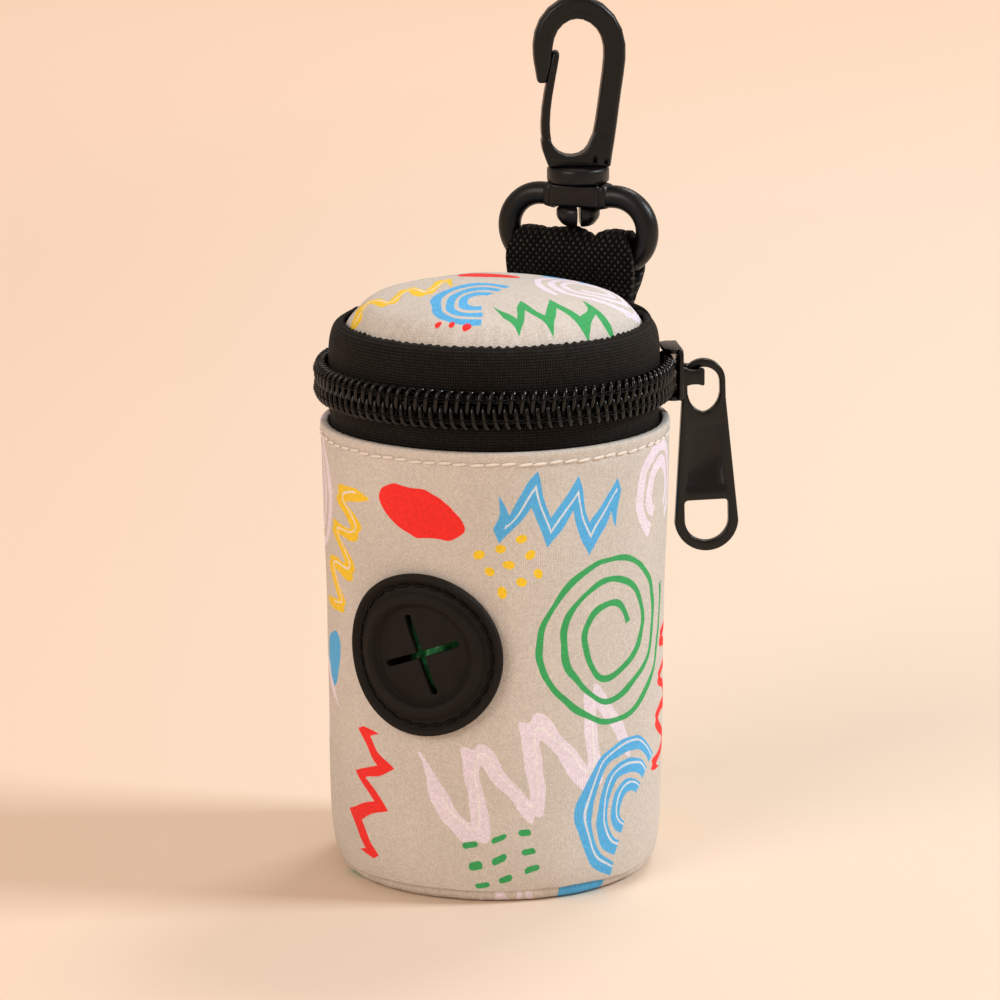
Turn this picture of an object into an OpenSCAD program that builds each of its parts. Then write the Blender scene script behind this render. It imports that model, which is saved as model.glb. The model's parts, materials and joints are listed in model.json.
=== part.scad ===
// Dog poop bag dispenser: a padded cloth pouch with a zipped lid, a rubber outlet
// and a webbing loop that holds a swivel hook. Millimetres, +Z up.
// The origin is the centre of the base's underside. The pouch's front faces -Y.
// An angle "round the pouch" is 0 at the front and grows towards +X.

/* [Pouch] */
// Outer radius of the cloth tube near its foot
pouch_r = 24.6; // [23:0.1:30]
// How far the tube widens from foot to hem
flare = 0.95; // [0:0.05:2]
// How far the foot draws in at the base seam
foot_draw = 1.6; // [0:0.1:2.5]
// Height over which the foot draws in
foot_run = 2.5; // [1:0.1:5]
// Height of the hem's top edge
hem_z = 67.2; // [62:0.2:90]
// Height of the seam where the side meets the base
seam_z = 1.65; // [1.3:0.05:2.2]
// Height of the cloth that the hem turns in
hem_turn = 4.5; // [2:0.5:8]

/* [Layers] */
// Thickness of the printed cloth
cloth_t = 0.6; // [0.4:0.05:0.8]
// Thickness of the side padding
foam_t = 1.3; // [0.8:0.1:2]
// Thickness of the lining
lining_t = 0.4; // [0.2:0.05:0.6]
// Thickness of the stiff board in the base
board_t = 1.2; // [0.8:0.1:1.6]
// Gap between neighbouring layers
ply_gap = 0.05; // [0.03:0.01:0.1]

/* [Zip] */
// Height of the zip's middle line above the hem
zip_rise = 6.1; // [5.2:0.1:9]
// Thickness of the zip tape
tape_t = 0.5; // [0.3:0.05:0.7]
// Width of the closed coil rows
chain_w = 5.84; // [5.4:0.02:6.2]
// Thickness of the coil's nylon wire
wire_d = 0.64; // [0.5:0.02:0.8]
// Depth of the coil from the tape outwards
coil_depth = 2.15; // [1.9:0.05:2.3]
// Spacing of the coil's curls
coil_pitch = 2.4; // [2.2:0.1:3.4]
// Half of the angle that the zip spans round the pouch
zip_half = 126; // [110:1:135]
// Half of the gap between the edges of the two tapes
tape_gap_half = 0.7; // [0.65:0.05:0.9]

/* [Lid] */
// Height of the lid's seam above the zip's middle line
lid_seam_rise = 8.2; // [7:0.1:10]
// Rise of the padded dome above its seam
dome_rise = 6; // [3:0.1:12]
// How far the upper tape leans in on its way to the lid's seam
tape_lean = 2; // [1:0.1:3]
// Fullness of the dome, where 2 is an ellipse and 1 a cone
dome_fullness = 1.7; // [1.5:0.1:3]

/* [Outlet] */
// Height of the outlet's centre
outlet_z = 37.2; // [28:0.2:45]
// Turn of the outlet round the pouch, away from its front
outlet_turn = -3.75; // [-15:3.75:15]
// Outer radius of the rubber outlet
outlet_r = 12; // [10:0.1:12.4]
// Thickness of the outlet outside the cloth
outlet_t = 1.6; // [1.2:0.1:1.8]
// Radius of the hole through the pouch's wall
outlet_hole_r = 7.1; // [6.9:0.1:7.4]
// Length of each slit
slit_l = 12.3; // [9:0.1:12.6]
// Width of each slit
slit_w = 1; // [0.6:0.1:1.4]
// Turn of the crossed slits
slit_turn = 20.5; // [0:0.5:45]

/* [Slider] */
// Angle round the pouch at which the slider rests
slider_at = 117.5; // [100:0.5:119]
// Length of the slider's plates along the zip
slider_l = 8.6; // [7.6:0.1:9]
// Thickness of the slider's outer plate
plate_t = 0.75; // [0.6:0.05:0.9]
// Running gap between the slider and the coil or the tape
slider_gap = 0.22; // [0.2:0.02:0.35]
// Height of the bail above the outer plate
bail_rise = 3.3; // [3.2:0.1:4]

/* [Pull tab] */
// Thickness of the pull tab
pull_t = 1.5; // [1:0.1:1.9]
// Half of the width of the pull's eye
eye_half_w = 3.25; // [3.2:0.05:3.4]
// Half of the width of the pull's foot
foot_half_w = 4.65; // [4:0.05:5]
// Whole length of the pull tab
pull_l = 28.5; // [26:0.5:34]

/* [Hanger] */
// Width of the webbing
web_w = 19.6; // [18:0.2:24]
// Thickness of one layer of webbing
web_t = 1.2; // [0.8:0.1:1.4]
// Sideways place of the hanger, from the middle of the back
hang_x = 3.1; // [0:0.1:4]
// Outer width of the swivel ring
ring_w = 25.4; // [24:0.2:34]
// Outer height of the swivel ring
ring_h = 13.7; // [13:0.1:16]
// Thickness of the ring's round bar
ring_d = 3.4; // [3:0.1:3.6]
// Width of the boss on the ring
boss_w = 8; // [7:0.5:10]
// Radius of the hook's stem
stem_r = 2; // [1.6:0.05:2.2]
// Running clearance of the stem in the boss
stem_fit = 0.08; // [0.05:0.01:0.1]
// Angle by which the hook is turned at rest
hook_turn = 25; // [0:1:90]
// Height of the hook above its collar
hook_h = 25.5; // [24:0.5:34]
// Outer radius of the hook's bend
hook_r = 7.05; // [6.6:0.05:8]
// Width of the hook's bar
hook_bar = 3.1; // [2.6:0.1:3.4]
// Thickness of the hook from front to back
hook_t = 3.8; // [3:0.1:4.4]

/* [Bags] */
// Outer radius of the wound bags
roll_r = 16.5; // [12:0.5:17]
// Height of the roll
roll_h = 57.4; // [40:0.2:57.8]
// Outer radius of the cardboard core
core_r = 7; // [5:0.5:9]
// Wall of the cardboard core
core_t = 1; // [0.6:0.1:1.5]

/* [Hidden] */

$fn = 64;
cut = 1;                                     // how far a cutter runs past a face
full_turn = 360;
seat_gap = 0.3;                              // gap of a loose piece at its seat

// Layers of the side wall, from the outside in
foam_out = cloth_t + ply_gap;
lining_out = foam_out + foam_t + ply_gap;
wall_depth = lining_out + lining_t;
allowance_h = 3.4;                           // seam allowance standing inside the wall
foam_foot = seam_z + allowance_h + ply_gap;
tape_tuck = 6.7;                             // how far the lower tape reaches into the pouch
foam_top = hem_z - tape_tuck - 0.5;
lining_rise = 1.55;
lining_foot = seam_z + lining_rise;
base_r = wall_r(seam_z) - cloth_t - ply_gap; // inner seam line of the base
base_roll = 1.6;                             // width of the base's rolled edge
binding_t = 0.7;
binding_h = 4.6;

// Zip
zip_z = hem_z + zip_rise;
tape_r = wall_r(hem_z - hem_turn) - 2 * cloth_t - ply_gap;
tape_in = tape_r - tape_t;
lower_tape_foot = hem_z - tape_tuck;
tape_end = 6;                                // tape that runs on past the zip's end
coil_mid_r = tape_r + ply_gap + coil_depth / 2;
coil_r = coil_mid_r + coil_depth / 2;
wire_r = wire_d / 2;
coil_overlap = 0.44;                         // how far a curl's head passes the middle
curl_half_h = (chain_w / 2 - wire_r + coil_overlap) / 2;
curl_half_d = coil_depth / 2 - wire_r;
curl_mid = curl_half_h - coil_overlap;
curl_rings = 8;
wire_sides = 6;
gap_points = 36;
coil_step = coil_pitch / coil_mid_r * 180 / PI;
slider_half_angle = asin(slider_l / 2 / coil_r);
coil_start = 5;                              // angle from the zip's end to the first curl
coil_from = -zip_half + coil_start;
coil_rest = 1;                               // angle between the last curl and the slider
coil_to = slider_at - slider_half_angle - coil_rest;
curls = floor((coil_to - coil_from) / coil_step);
stop_span = 3;
stop_at = zip_half - stop_span;

// Back hinge panel
panel_lap = 2;
panel_half = 180 - zip_half - panel_lap;
panel_t = 0.75;
panel_r = tape_r + panel_t;
panel_split = 0.3;
tuck_gap = 1;
tuck_half = 180 - zip_half - tape_end - tuck_gap;

// Lid
tape_straight = 4.2;                         // upper tape that still stands upright
tape_bend_z = zip_z + tape_straight;
lid_seam_z = zip_z + lid_seam_rise;
lid_r = tape_in - tape_lean - ply_gap;
lid_allowance = 3.2;
lid_slope = tape_lean / (lid_seam_z - tape_bend_z);
shoulder_z = lid_seam_z - 1.3;               // height at which the upper tape turns in to the seam
shoulder_in = 0.55;                          // how far it has leaned in by then
lid_foam_drop = 1.35;
lid_foam_foot = lid_seam_z - lid_foam_drop;
dome_steps = 12;

// Outlet
dish_r = slit_l / 2 + 1.1;                   // recessed middle that holds the slits
dish_h = 0.35;                               // its height, as a share of the outlet's
lip_w = 1.5;
rim_w = 1.3;
groove_w = 0.9;                              // stitched groove between the lip and the rim
groove_h = 0.64;
throat_r = outlet_hole_r - 0.25;
throat_t = 0.5;
membrane_back = 0.5;
under_steps = 4;
outlet_sides = 48;

// Slider
plate_in = coil_r + slider_gap;
plate_out = plate_in + plate_t;
flange_in_h = chain_w / 2 + slider_gap;
plate_half_h = flange_in_h + plate_t;
flange_foot = tape_r + 2 * slider_gap;
inner_gap = 0.7;
inner_out = tape_in - inner_gap;
inner_t = 0.8;
inner_half_h = 3.4;
wedge_t = 1.1;
wedge_at = 2.4;

// Bail and pull
bail_drop = 0.55;
plate_corner = 0.75;                         // how far the plates' corners reach past their round ends
plate_inset = 0.7;
bail_z = zip_z - bail_drop;
bail_half_h = 1.45;
bail_side_gap = 0.75;
bail_leg_t = 1.5;
bail_leg_in = pull_t / 2 + bail_side_gap;
bail_leg_out = bail_leg_in + bail_leg_t;
bar_d = 1;
bar_h = 1.8;
bar_n = plate_out + bail_rise - bar_d / 2;
eye_band = 0.85;
eye_hole_r = eye_half_w - eye_band;
eye_gap = 0.2;                               // gap between the pull and the outer plate
eye_n = plate_out + eye_gap + eye_half_w;    // the eye's middle, from the pouch's axis
eye_hang = 1.05;                             // how far the eye's middle hangs below the bail's
eye_z = bail_z - eye_hang;
eye_drop = 1.4;
eye_top_band = 1.3;
pull_top = eye_z + eye_hole_r + eye_top_band;
pull_foot_z = pull_top - pull_l + foot_half_w;
pull_lean = 1.6;
window_band = 1.5;
window_h = 6.2;
panel_recess = 0.3;
panel_band = 0.6;                            // rim left beside the recessed panel
panel_foot_gap = 2.9;
panel_top_gap = 1.1;
arc_steps = 16;

// Hanger
hang_y = 27;
ring_rise = 12.4;                            // height of the ring's lower bar above the zip
ring_bar_z = zip_z + ring_rise;
ring_end_r = ring_h / 2 - ring_d / 2;
ring_half_l = ring_w / 2 - ring_h / 2;
ring_mid_z = ring_bar_z + ring_end_r;
boss_h = 3.4;
boss_t = 4.8;
boss_rise = 1.85;                            // height of the boss's top above the ring's upper bar
boss_top = ring_mid_z + ring_end_r + boss_rise;
fold_rise = 6.3;
fold_gap = 0.35;
fold_z = zip_z + fold_rise;
strap_foot = fold_z + fold_gap;
tail_foot = zip_z + 1;
tail_top = fold_z - 0.1;
bar_clear = 0.3;
loop_in = ring_d / 2 + bar_clear;
loop_out = loop_in + web_t;
loop_rise = 1.6;
loop_half_w = ring_half_l + 0.7;
loop_waist = ring_bar_z - 2.4;               // height at which the webbing narrows for the ring
loop_shoulder = 1;
loop_spread = 1.7;                           // how far below the bar the legs stand apart
fold_web = 1;                                // webbing that stays closed above the fold

// Hook, in its own frame: x across, z from the collar's top
collar_r = 4.65;
collar_h = 2.3;
collar_foot = boss_top + seat_gap;
hook_z = collar_foot + collar_h;
prong_r = 3.25;
prong_tip_r = 2.2;
prong_gap = 0.15;
prong_top = boss_top - boss_h - prong_gap;
prong_straight = 1.5;
prong_l = 2.9;
prong_slot = 0.7;
bend_x = 0.25;
bend_z = hook_h - hook_r;
bend_mid_r = hook_r - hook_bar / 2;
side_slant = 7.6;
bevel = 0.8;
eye_r = 3.1;
eye_x = -0.8;
eye_floor = 1.4;                             // bar left under the hook's eye
foot_reach = 0.15;                           // how far the hook's foot reaches past the collar's edge
eye_mid_z = eye_floor + eye_r;
gate_t = 1.6;
gate_depth = 3;
gate_x = eye_x - eye_r - gate_t / 2;
gate_z = eye_mid_z + gate_t / 2 + ply_gap;
nose_foot = bend_z - 6;
nose_tip_in = -4.95;
nose_fit = 0.14;

// Base stack and bags
board_foot = cloth_t + ply_gap;
base_lining_foot = board_foot + board_t + ply_gap;
roll_foot = base_lining_foot + lining_t + seat_gap;

// Radius of the cloth tube at a height
function wall_r(z) = pouch_r + flare * pow(z / hem_z, 2) - foot_draw * exp(-z / foot_run);

// Heights at which every wall's outline has a point: close together in the drawn-in foot
wall_knots = concat([for (i = [1 : 9]) i * foot_run * 0.4],
    [for (i = [1 : 7]) 4 * foot_run + (hem_z - 4 * foot_run) * i / 8]);
function heights(from, to) = concat([from], [for (z = wall_knots) if (z > from && z < to) z], [to]);

// Outer and inner line of a layer that lies depth inside the cloth tube
function layer(from, to, depth, t) = let (up = heights(from, to), last = len(up) - 1) concat(
    [for (z = up) [wall_r(z) - depth, z]],
    [for (i = [last : -1 : 0]) [wall_r(up[i]) - depth - t, up[i]]]);

// Outline of the dome, drawn in by an inset
function dome(inset) = [for (i = [0 : dome_steps]) let (a = 90 * i / dome_steps)
    [(lid_r - inset) * pow(cos(a), 2 / dome_fullness),
     lid_seam_z + (dome_rise - inset) * pow(sin(a), 2 / dome_fullness)]];

// Inner face of the leaning upper tape
function lean_r(z) = tape_in - ply_gap - lid_slope * (z - tape_bend_z);

// A point of a coil row. side is 1 for the upper row and -1 for the lower
function coil_at(side, turn, u) = let (
        a = coil_from + (turn + u - sin(full_turn * u) / (2 * PI) + (side + 1) / 4) * coil_step,
        v = zip_z + side * (curl_mid - curl_half_h * cos(full_turn * u)),
        n = coil_mid_r + curl_half_d * sin(full_turn * u))
    [n * sin(a), -n * cos(a), v];

// Least distance between points of the wire, half a curl to two curls apart, less its thickness
function self_gap(side) = min([for (i = [0 : gap_points - 1], k = [gap_points / 2 : 2 * gap_points])
    norm(coil_at(side, 0, i / gap_points) - coil_at(side, floor((i + k) / gap_points),
        ((i + k) % gap_points) / gap_points))]) - wire_d;

// Least distance between the two closed rows, less the wire's thickness
function row_gap() = min([for (i = [0 : gap_points - 1], turn = [0 : 2], k = [0 : gap_points - 1])
    norm(coil_at(1, 1, i / gap_points) - coil_at(-1, turn, k / gap_points))]) - wire_d;

function unit(v) = v / norm(v);

// Turns the front of a piece to an angle round the pouch
module round_at(angle) {
    rotate([0, 0, angle]) children();
}

// Revolves an outline between two angles round the pouch
module sector(from, to) {
    rotate([0, 0, from - 90]) rotate_extrude(angle = to - from) children();
}

// A closed tube along points, with one ring of sides at each point
module tube(points, r, sides) {
    last = len(points) - 1;
    rings = [for (i = [0 : last]) let (
            along = unit(points[min(i + 1, last)] - points[max(i - 1, 0)]),
            out = unit([points[i][0], points[i][1], 0]),
            across = unit(cross(along, cross(out, [0, 0, 1]))),
            other = cross(along, across))
        for (k = [0 : sides - 1]) let (a = full_turn * k / sides)
            points[i] + r * (cos(a) * across + sin(a) * other)];
    walls = [for (i = [0 : last - 1], k = [0 : sides - 1]) let (
            a = i * sides + k,
            b = i * sides + (k + 1) % sides)
        each [[a, a + sides, b], [b, a + sides, b + sides]]];
    caps = [[for (k = [0 : sides - 1]) k], [for (k = [sides - 1 : -1 : 0]) last * sides + k]];
    polyhedron(rings, concat(walls, caps));
}

module outlet_cut() {
    rotate([0, 0, outlet_turn]) translate([0, 0, outlet_z]) rotate([90, 0, 0])
        cylinder(r = outlet_hole_r, h = 2 * pouch_r);
}

// ---- pouch ----

// Printed cloth tube with its hem turned in
module side_fabric() {
    color([0.82, 0.74, 0.66])
    difference() {
        union() {
            rotate_extrude($fn = 96) polygon(layer(seam_z, hem_z, 0, cloth_t));
            rotate_extrude($fn = 96)
                polygon(layer(hem_z - hem_turn, hem_z, cloth_t / 2, 1.5 * cloth_t));
        }
        outlet_cut();
    }
}

module side_foam() {
    color([0.9, 0.9, 0.88])
    difference() {
        rotate_extrude($fn = 96) polygon(layer(foam_foot, foam_top, foam_out, foam_t));
        outlet_cut();
    }
}

module side_lining() {
    color([0.2, 0.2, 0.2])
    difference() {
        rotate_extrude($fn = 96) polygon(layer(lining_foot, hem_z - ply_gap, lining_out, lining_t));
        outlet_cut();
    }
}

// Base disc: its rolled edge turns up inside the side wall
module base_fabric() {
    corner = base_r - base_roll;
    roll_up = [for (a = [0 : 15 : 90]) [corner + base_roll * sin(a), seam_z * (1 - cos(a))]];
    roll_in = [for (a = [90 : -15 : 0])
        [corner + (base_roll - cloth_t) * sin(a), cloth_t + (seam_z - cloth_t) * (1 - cos(a))]];
    color([0.8, 0.72, 0.64])
    rotate_extrude($fn = 96) polygon(concat([[0, 0]], roll_up,
        layer(seam_z, seam_z + allowance_h, foam_out, cloth_t), roll_in, [[0, cloth_t]]));
}

module base_board() {
    color([0.7, 0.68, 0.62])
    translate([0, 0, board_foot]) cylinder(r = base_r - base_roll - ply_gap, h = board_t, $fn = 96);
}

module base_lining() {
    color([0.2, 0.2, 0.2])
    translate([0, 0, base_lining_foot])
        cylinder(r = base_r - cloth_t - 2 * ply_gap, h = lining_t, $fn = 96);
}

// Folded tape over the inside seam, with a rounded fold on top
module seam_binding() {
    r = wall_r(lining_foot) - wall_depth - ply_gap - binding_t / 2;
    foot = base_lining_foot + lining_t + ply_gap;
    color([0.13, 0.13, 0.13])
    rotate_extrude($fn = 96) {
        translate([r - binding_t / 2, foot]) square([binding_t, binding_h - binding_t / 2]);
        translate([r, foot + binding_h - binding_t / 2]) circle(d = binding_t, $fn = 24);
    }
}

// ---- zip ----

module lower_tape() {
    color([0.1, 0.1, 0.1])
    sector(-zip_half - tape_end, zip_half + tape_end)
        translate([tape_in, lower_tape_foot])
            square([tape_t, zip_z - tape_gap_half - lower_tape_foot]);
}

function upper_section() = [
    [tape_in, zip_z + tape_gap_half],
    [tape_r, zip_z + tape_gap_half],
    [tape_r, tape_bend_z],
    [tape_r - shoulder_in, shoulder_z],
    [tape_r - tape_lean, lid_seam_z],
    [tape_in - tape_lean, lid_seam_z],
    [tape_in - shoulder_in, shoulder_z - ply_gap],
    [tape_in, tape_bend_z]];

module upper_tape() {
    color([0.1, 0.1, 0.1])
    sector(-zip_half - tape_end, zip_half + tape_end) polygon(upper_section());
}

// One unbroken nylon wire, wound in flat curls that reach past the middle line
module coil_row(side) {
    tube([for (turn = [0 : curls - 1], k = [0 : curl_rings - 1])
        coil_at(side, turn, k / curl_rings)], wire_r, wire_sides);
}

module lower_coil() {
    echo(coil_gap = self_gap(-1), rows_gap = row_gap());
    color([0.07, 0.07, 0.07]) coil_row(-1);
}

module upper_coil() {
    echo(coil_gap = self_gap(1));
    color([0.07, 0.07, 0.07]) coil_row(1);
}

// Moulded stops at both ends of the lower row
module zip_stops() {
    h = chain_w / 2 - wedge_t / 2 - seat_gap;
    color([0.08, 0.08, 0.08])
    for (end = [-1, 1])
        sector(end * stop_at - stop_span / 2, end * stop_at + stop_span / 2)
            translate([tape_r, zip_z - chain_w / 2]) square([coil_depth - slider_gap, h]);
}

// Outer layer of the panel, which covers the ends of the tapes
module hinge_band(foot, top) {
    sector(180 - panel_half, 180 + panel_half)
        translate([tape_r + ply_gap, foot]) square([panel_t - ply_gap, top - foot]);
}

// Lower half of the cloth panel behind the zip, tucked into the hem
module hinge_lower() {
    top = zip_z - panel_split;
    foot = hem_z + ply_gap;
    middle_r = tape_r + panel_t / 2;
    color([0.12, 0.12, 0.12]) {
        hinge_band(foot, top);
        sector(180 - tuck_half, 180 + tuck_half) polygon([[tape_in, lower_tape_foot],
            [tape_r, lower_tape_foot], [tape_r, foot + 4 * ply_gap],
            [middle_r, foot + 4 * ply_gap], [middle_r, top - ply_gap], [tape_in, top - ply_gap]]);
    }
}

module hinge_upper() {
    foot = zip_z + panel_split;
    middle_r = tape_r + panel_t / 2;
    color([0.12, 0.12, 0.12]) {
        hinge_band(foot, tape_bend_z);
        sector(180 - tuck_half, 180 + tuck_half) polygon([[tape_in, foot + ply_gap],
            [middle_r, foot + ply_gap], [middle_r, tape_bend_z - 4 * ply_gap],
            [tape_r, tape_bend_z - 2 * ply_gap], [tape_r - shoulder_in, shoulder_z],
            [tape_r - tape_lean, lid_seam_z], [tape_in - tape_lean, lid_seam_z],
            [tape_in - shoulder_in, shoulder_z - ply_gap], [tape_in, tape_bend_z]]);
    }
}

// ---- outlet ----

// Section of the outlet: radius, and height above the cloth
function outlet_section() = let (t = outlet_t, edge = outlet_r) concat(
    [for (a = [-90 : 30 : 90]) [dish_r + lip_w * (1 + sin(a)) / 2,
        t * (dish_h + (1 - dish_h) * (1 + sin(a)) / 2)]],
    [[edge - rim_w - groove_w, groove_h * t],
     [edge - rim_w - ply_gap, groove_h * t]],
    [for (a = [75 : -15 : 0]) [edge - rim_w + rim_w * cos(a), 2 * ply_gap + (t - 3 * ply_gap) * sin(a)]],
    [for (i = [0 : under_steps])
        [edge - ply_gap - (edge - ply_gap - throat_r) * i / under_steps, ply_gap]],
    [[throat_r - ply_gap, -wall_depth],
     [throat_r - throat_t, -wall_depth],
     [throat_r - throat_t - ply_gap, -membrane_back]]);

// Bends a flat ring of the section round the cloth tube
function on_wall(r, a, h) = let (
        z = outlet_z + r * sin(a),
        rr = wall_r(z),
        t = r * cos(a) / rr * 180 / PI)
    [(rr + h) * sin(t), -(rr + h) * cos(t), z];

module outlet_shell() {
    s = outlet_section();
    n = len(s);
    sides = outlet_sides;
    ring = [for (p = s, k = [0 : sides - 1]) on_wall(p[0], full_turn * k / sides, p[1])];
    points = concat(ring, [on_wall(0, 0, dish_h * outlet_t), on_wall(0, 0, -membrane_back)]);
    walls = [for (i = [0 : n - 2], k = [0 : sides - 1]) let (
            a = i * sides + k,
            b = i * sides + (k + 1) % sides)
        each [[a, b, a + sides], [b, b + sides, a + sides]]];
    front = [for (k = [0 : sides - 1]) [n * sides, (k + 1) % sides, k]];
    back = [for (k = [0 : sides - 1]) [n * sides + 1,
        (n - 1) * sides + k, (n - 1) * sides + (k + 1) % sides]];
    polyhedron(points, concat(walls, front, back));
}

// Moulded rubber grommet, bent to the tube, with two crossed slits
module outlet() {
    color([0.16, 0.14, 0.12])
    rotate([0, 0, outlet_turn])
    difference() {
        outlet_shell();
        translate([0, -pouch_r, outlet_z]) rotate([0, -slit_turn, 0])
            for (turn = [0, 90]) rotate([0, turn, 0])
                cube([slit_w, 4 * cut, slit_l], center = true);
    }
}

// ---- lid ----

module lid_fabric() {
    foot = lid_seam_z - lid_allowance;
    color([0.88, 0.82, 0.78])
    rotate_extrude($fn = 96) polygon(concat(
        [[lean_r(foot) - cloth_t, foot], [lean_r(foot), foot]],
        dome(0),
        [for (p = [dome_steps : -1 : 0]) dome(cloth_t)[p]]));
}

module lid_foam() {
    inset = cloth_t + ply_gap;
    color([0.9, 0.9, 0.88])
    rotate_extrude($fn = 96) polygon(concat(
        [[0, lid_foam_foot], [lean_r(lid_foam_foot) - inset, lid_foam_foot]], dome(inset)));
}

module lid_lining() {
    foot = lid_foam_foot - ply_gap - lining_t;
    color([0.2, 0.2, 0.2])
    translate([0, 0, foot])
        cylinder(r = lean_r(foot + lining_t) - cloth_t - 2 * ply_gap, h = lining_t, $fn = 96);
}

// ---- slider and pull ----

// Outer plate, inner plate and wedge post, seen along the pouch's radius
module plate(half_h, length, t, at) {
    translate([0, -at, zip_z]) rotate([90, 0, 0]) linear_extrude(t)
        intersection() {
            square([length, 2 * half_h], center = true);
            circle(r = length / 2 + plate_corner);
        }
}

module slider_body() {
    color([0.1, 0.1, 0.1])
    round_at(slider_at) {
        plate(plate_half_h, slider_l, plate_t, plate_in);
        plate(inner_half_h, slider_l - plate_inset, inner_t, inner_out - inner_t);
        for (side = [-1, 1])
            translate([plate_inset - slider_l / 2, -plate_in,
                zip_z + side * (flange_in_h + plate_t / 2) - plate_t / 2])
                cube([slider_l - 2 * plate_inset, plate_in - flange_foot, plate_t]);
        translate([wedge_at, -inner_out + cut / 10, zip_z]) rotate([90, 0, 0])
            linear_extrude(plate_in - inner_out + cut / 5) {
                circle(r = wedge_t / 2);
                translate([0, -wedge_t / 2]) square([slider_l / 2 - wedge_at - plate_inset, wedge_t]);
            }
    }
}

// Waisted bridge on the outer plate
module slider_bail() {
    color([0.1, 0.1, 0.1])
    round_at(slider_at) {
        for (side = [-1, 1])
            translate([side * (bail_leg_in + bail_leg_out) / 2 - (bail_leg_out - bail_leg_in) / 2,
                -plate_out - bail_rise, bail_z - bail_half_h])
                cube([bail_leg_out - bail_leg_in, bail_rise, 2 * bail_half_h]);
        translate([-bail_leg_in - cut / 10, -bar_n - bar_d / 2, bail_z - bar_h / 2])
            cube([2 * bail_leg_in + cut / 5, bar_d, bar_h]);
    }
}

// Points of an arc
function arc(middle, r, from, to) = [for (i = [0 : arc_steps]) let (
    a = from + (to - from) * i / arc_steps)
    middle + r * [cos(a), sin(a)]];

// Outline of a band round two circles, the first above the second
function taper(r1, z1, r2, z2) = let (a = asin((r2 - r1) / (z1 - z2))) concat(
    arc([0, z1], r1, a, 180 - a), arc([0, z2], r2, 180 - a, full_turn + a));

// Pull tab, drawn flat: x is outwards from the pouch, with 0 at the eye's middle
module pull_outline() {
    difference() {
        polygon(taper(eye_half_w, pull_top - eye_half_w, foot_half_w, pull_foot_z));
        polygon(taper(eye_hole_r, eye_z, eye_hole_r, eye_z - eye_drop));
        window();
    }
}

// D-shaped window in the pull's foot
module window() {
    r = foot_half_w - window_band;
    polygon(concat(arc([0, pull_foot_z], r, -180, 0),
        [[r, pull_foot_z + window_h - r], [-r, pull_foot_z + window_h - r]]));
}

module pull_tab() {
    recess_foot = pull_foot_z + window_h - foot_half_w + panel_foot_gap;
    recess_top = eye_z - eye_drop - eye_hole_r - panel_top_gap;
    color([0.1, 0.09, 0.08])
    round_at(slider_at)
    translate([0, -bar_n, bail_z]) rotate([-pull_lean, 0, 0]) translate([0, bar_n, -bail_z])
    translate([0, -eye_n, 0]) rotate([90, 0, -90])
        difference() {
            translate([0, 0, -pull_t / 2]) linear_extrude(pull_t) pull_outline();
            for (side = [-1, 1])
                translate([panel_band - eye_half_w, recess_foot,
                    side * (pull_t / 2 + cut / 2 - panel_recess) - cut / 2])
                    cube([2 * (eye_half_w - panel_band), recess_top - recess_foot, cut]);
        }
}

// ---- hanger ----

// Ends of the webbing, sewn to the outside of the hinge panel
module strap_tail() {
    in_r = panel_r + ply_gap;
    half = asin(web_w / 2 / in_r);
    middle = 180 - asin(hang_x / in_r);
    color([0.1, 0.1, 0.1])
    sector(middle - half, middle + half)
        translate([in_r, tail_foot]) square([2 * web_t, tail_top - tail_foot]);
}

// Webbing loop seen from the side: y across, z up
module loop_side() {
    difference() {
        union() {
            translate([0, ring_bar_z + loop_rise]) circle(r = loop_out);
            polygon([[-web_t, strap_foot], [web_t, strap_foot],
                [loop_out, ring_bar_z - loop_spread], [loop_out, ring_bar_z + loop_rise],
                [-loop_out, ring_bar_z + loop_rise], [-loop_out, ring_bar_z - loop_spread]]);
        }
        translate([0, ring_bar_z + loop_rise]) circle(r = loop_in);
        polygon([[0, strap_foot + fold_web], [loop_in, ring_bar_z - loop_spread + bar_clear],
            [loop_in, ring_bar_z + loop_rise], [-loop_in, ring_bar_z + loop_rise],
            [-loop_in, ring_bar_z - loop_spread + bar_clear]]);
    }
}

// Webbing loop seen from the front: x across, z up
module loop_front() {
    top = ring_bar_z + loop_rise + loop_out + cut;
    polygon([[-web_w / 2, strap_foot - cut], [web_w / 2, strap_foot - cut],
        [web_w / 2, loop_waist - loop_shoulder], [loop_half_w, loop_waist], [loop_half_w, top],
        [-loop_half_w, top], [-loop_half_w, loop_waist],
        [-web_w / 2, loop_waist - loop_shoulder]]);
}

module strap() {
    color([0.1, 0.1, 0.1])
    translate([hang_x, hang_y, 0])
        intersection() {
            rotate([90, 0, 90]) linear_extrude(web_w, center = true) loop_side();
            rotate([90, 0, 0]) linear_extrude(4 * loop_out, center = true) loop_front();
        }
}

// Round bar bent to an oval, with a bored boss on top
module swivel_ring() {
    color([0.1, 0.1, 0.1])
    translate([hang_x, hang_y, ring_mid_z])
        difference() {
            union() {
                for (side = [-1, 1]) {
                    translate([side * ring_half_l, 0, 0]) rotate([90, 0, 0])
                        rotate([0, 0, side * 90 - 180]) rotate_extrude(angle = 180)
                            translate([ring_end_r, 0]) circle(d = ring_d, $fn = 32);
                    translate([0, 0, side * ring_end_r]) rotate([0, 90, 0])
                        cylinder(d = ring_d, h = 2 * ring_half_l, center = true, $fn = 32);
                }
                translate([-boss_w / 2, -boss_t / 2, boss_top - boss_h - ring_mid_z])
                    cube([boss_w, boss_t, boss_h]);
            }
            translate([0, 0, ring_end_r - boss_h])
                cylinder(r = stem_r + stem_fit, h = 2 * boss_h);
        }
}

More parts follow.
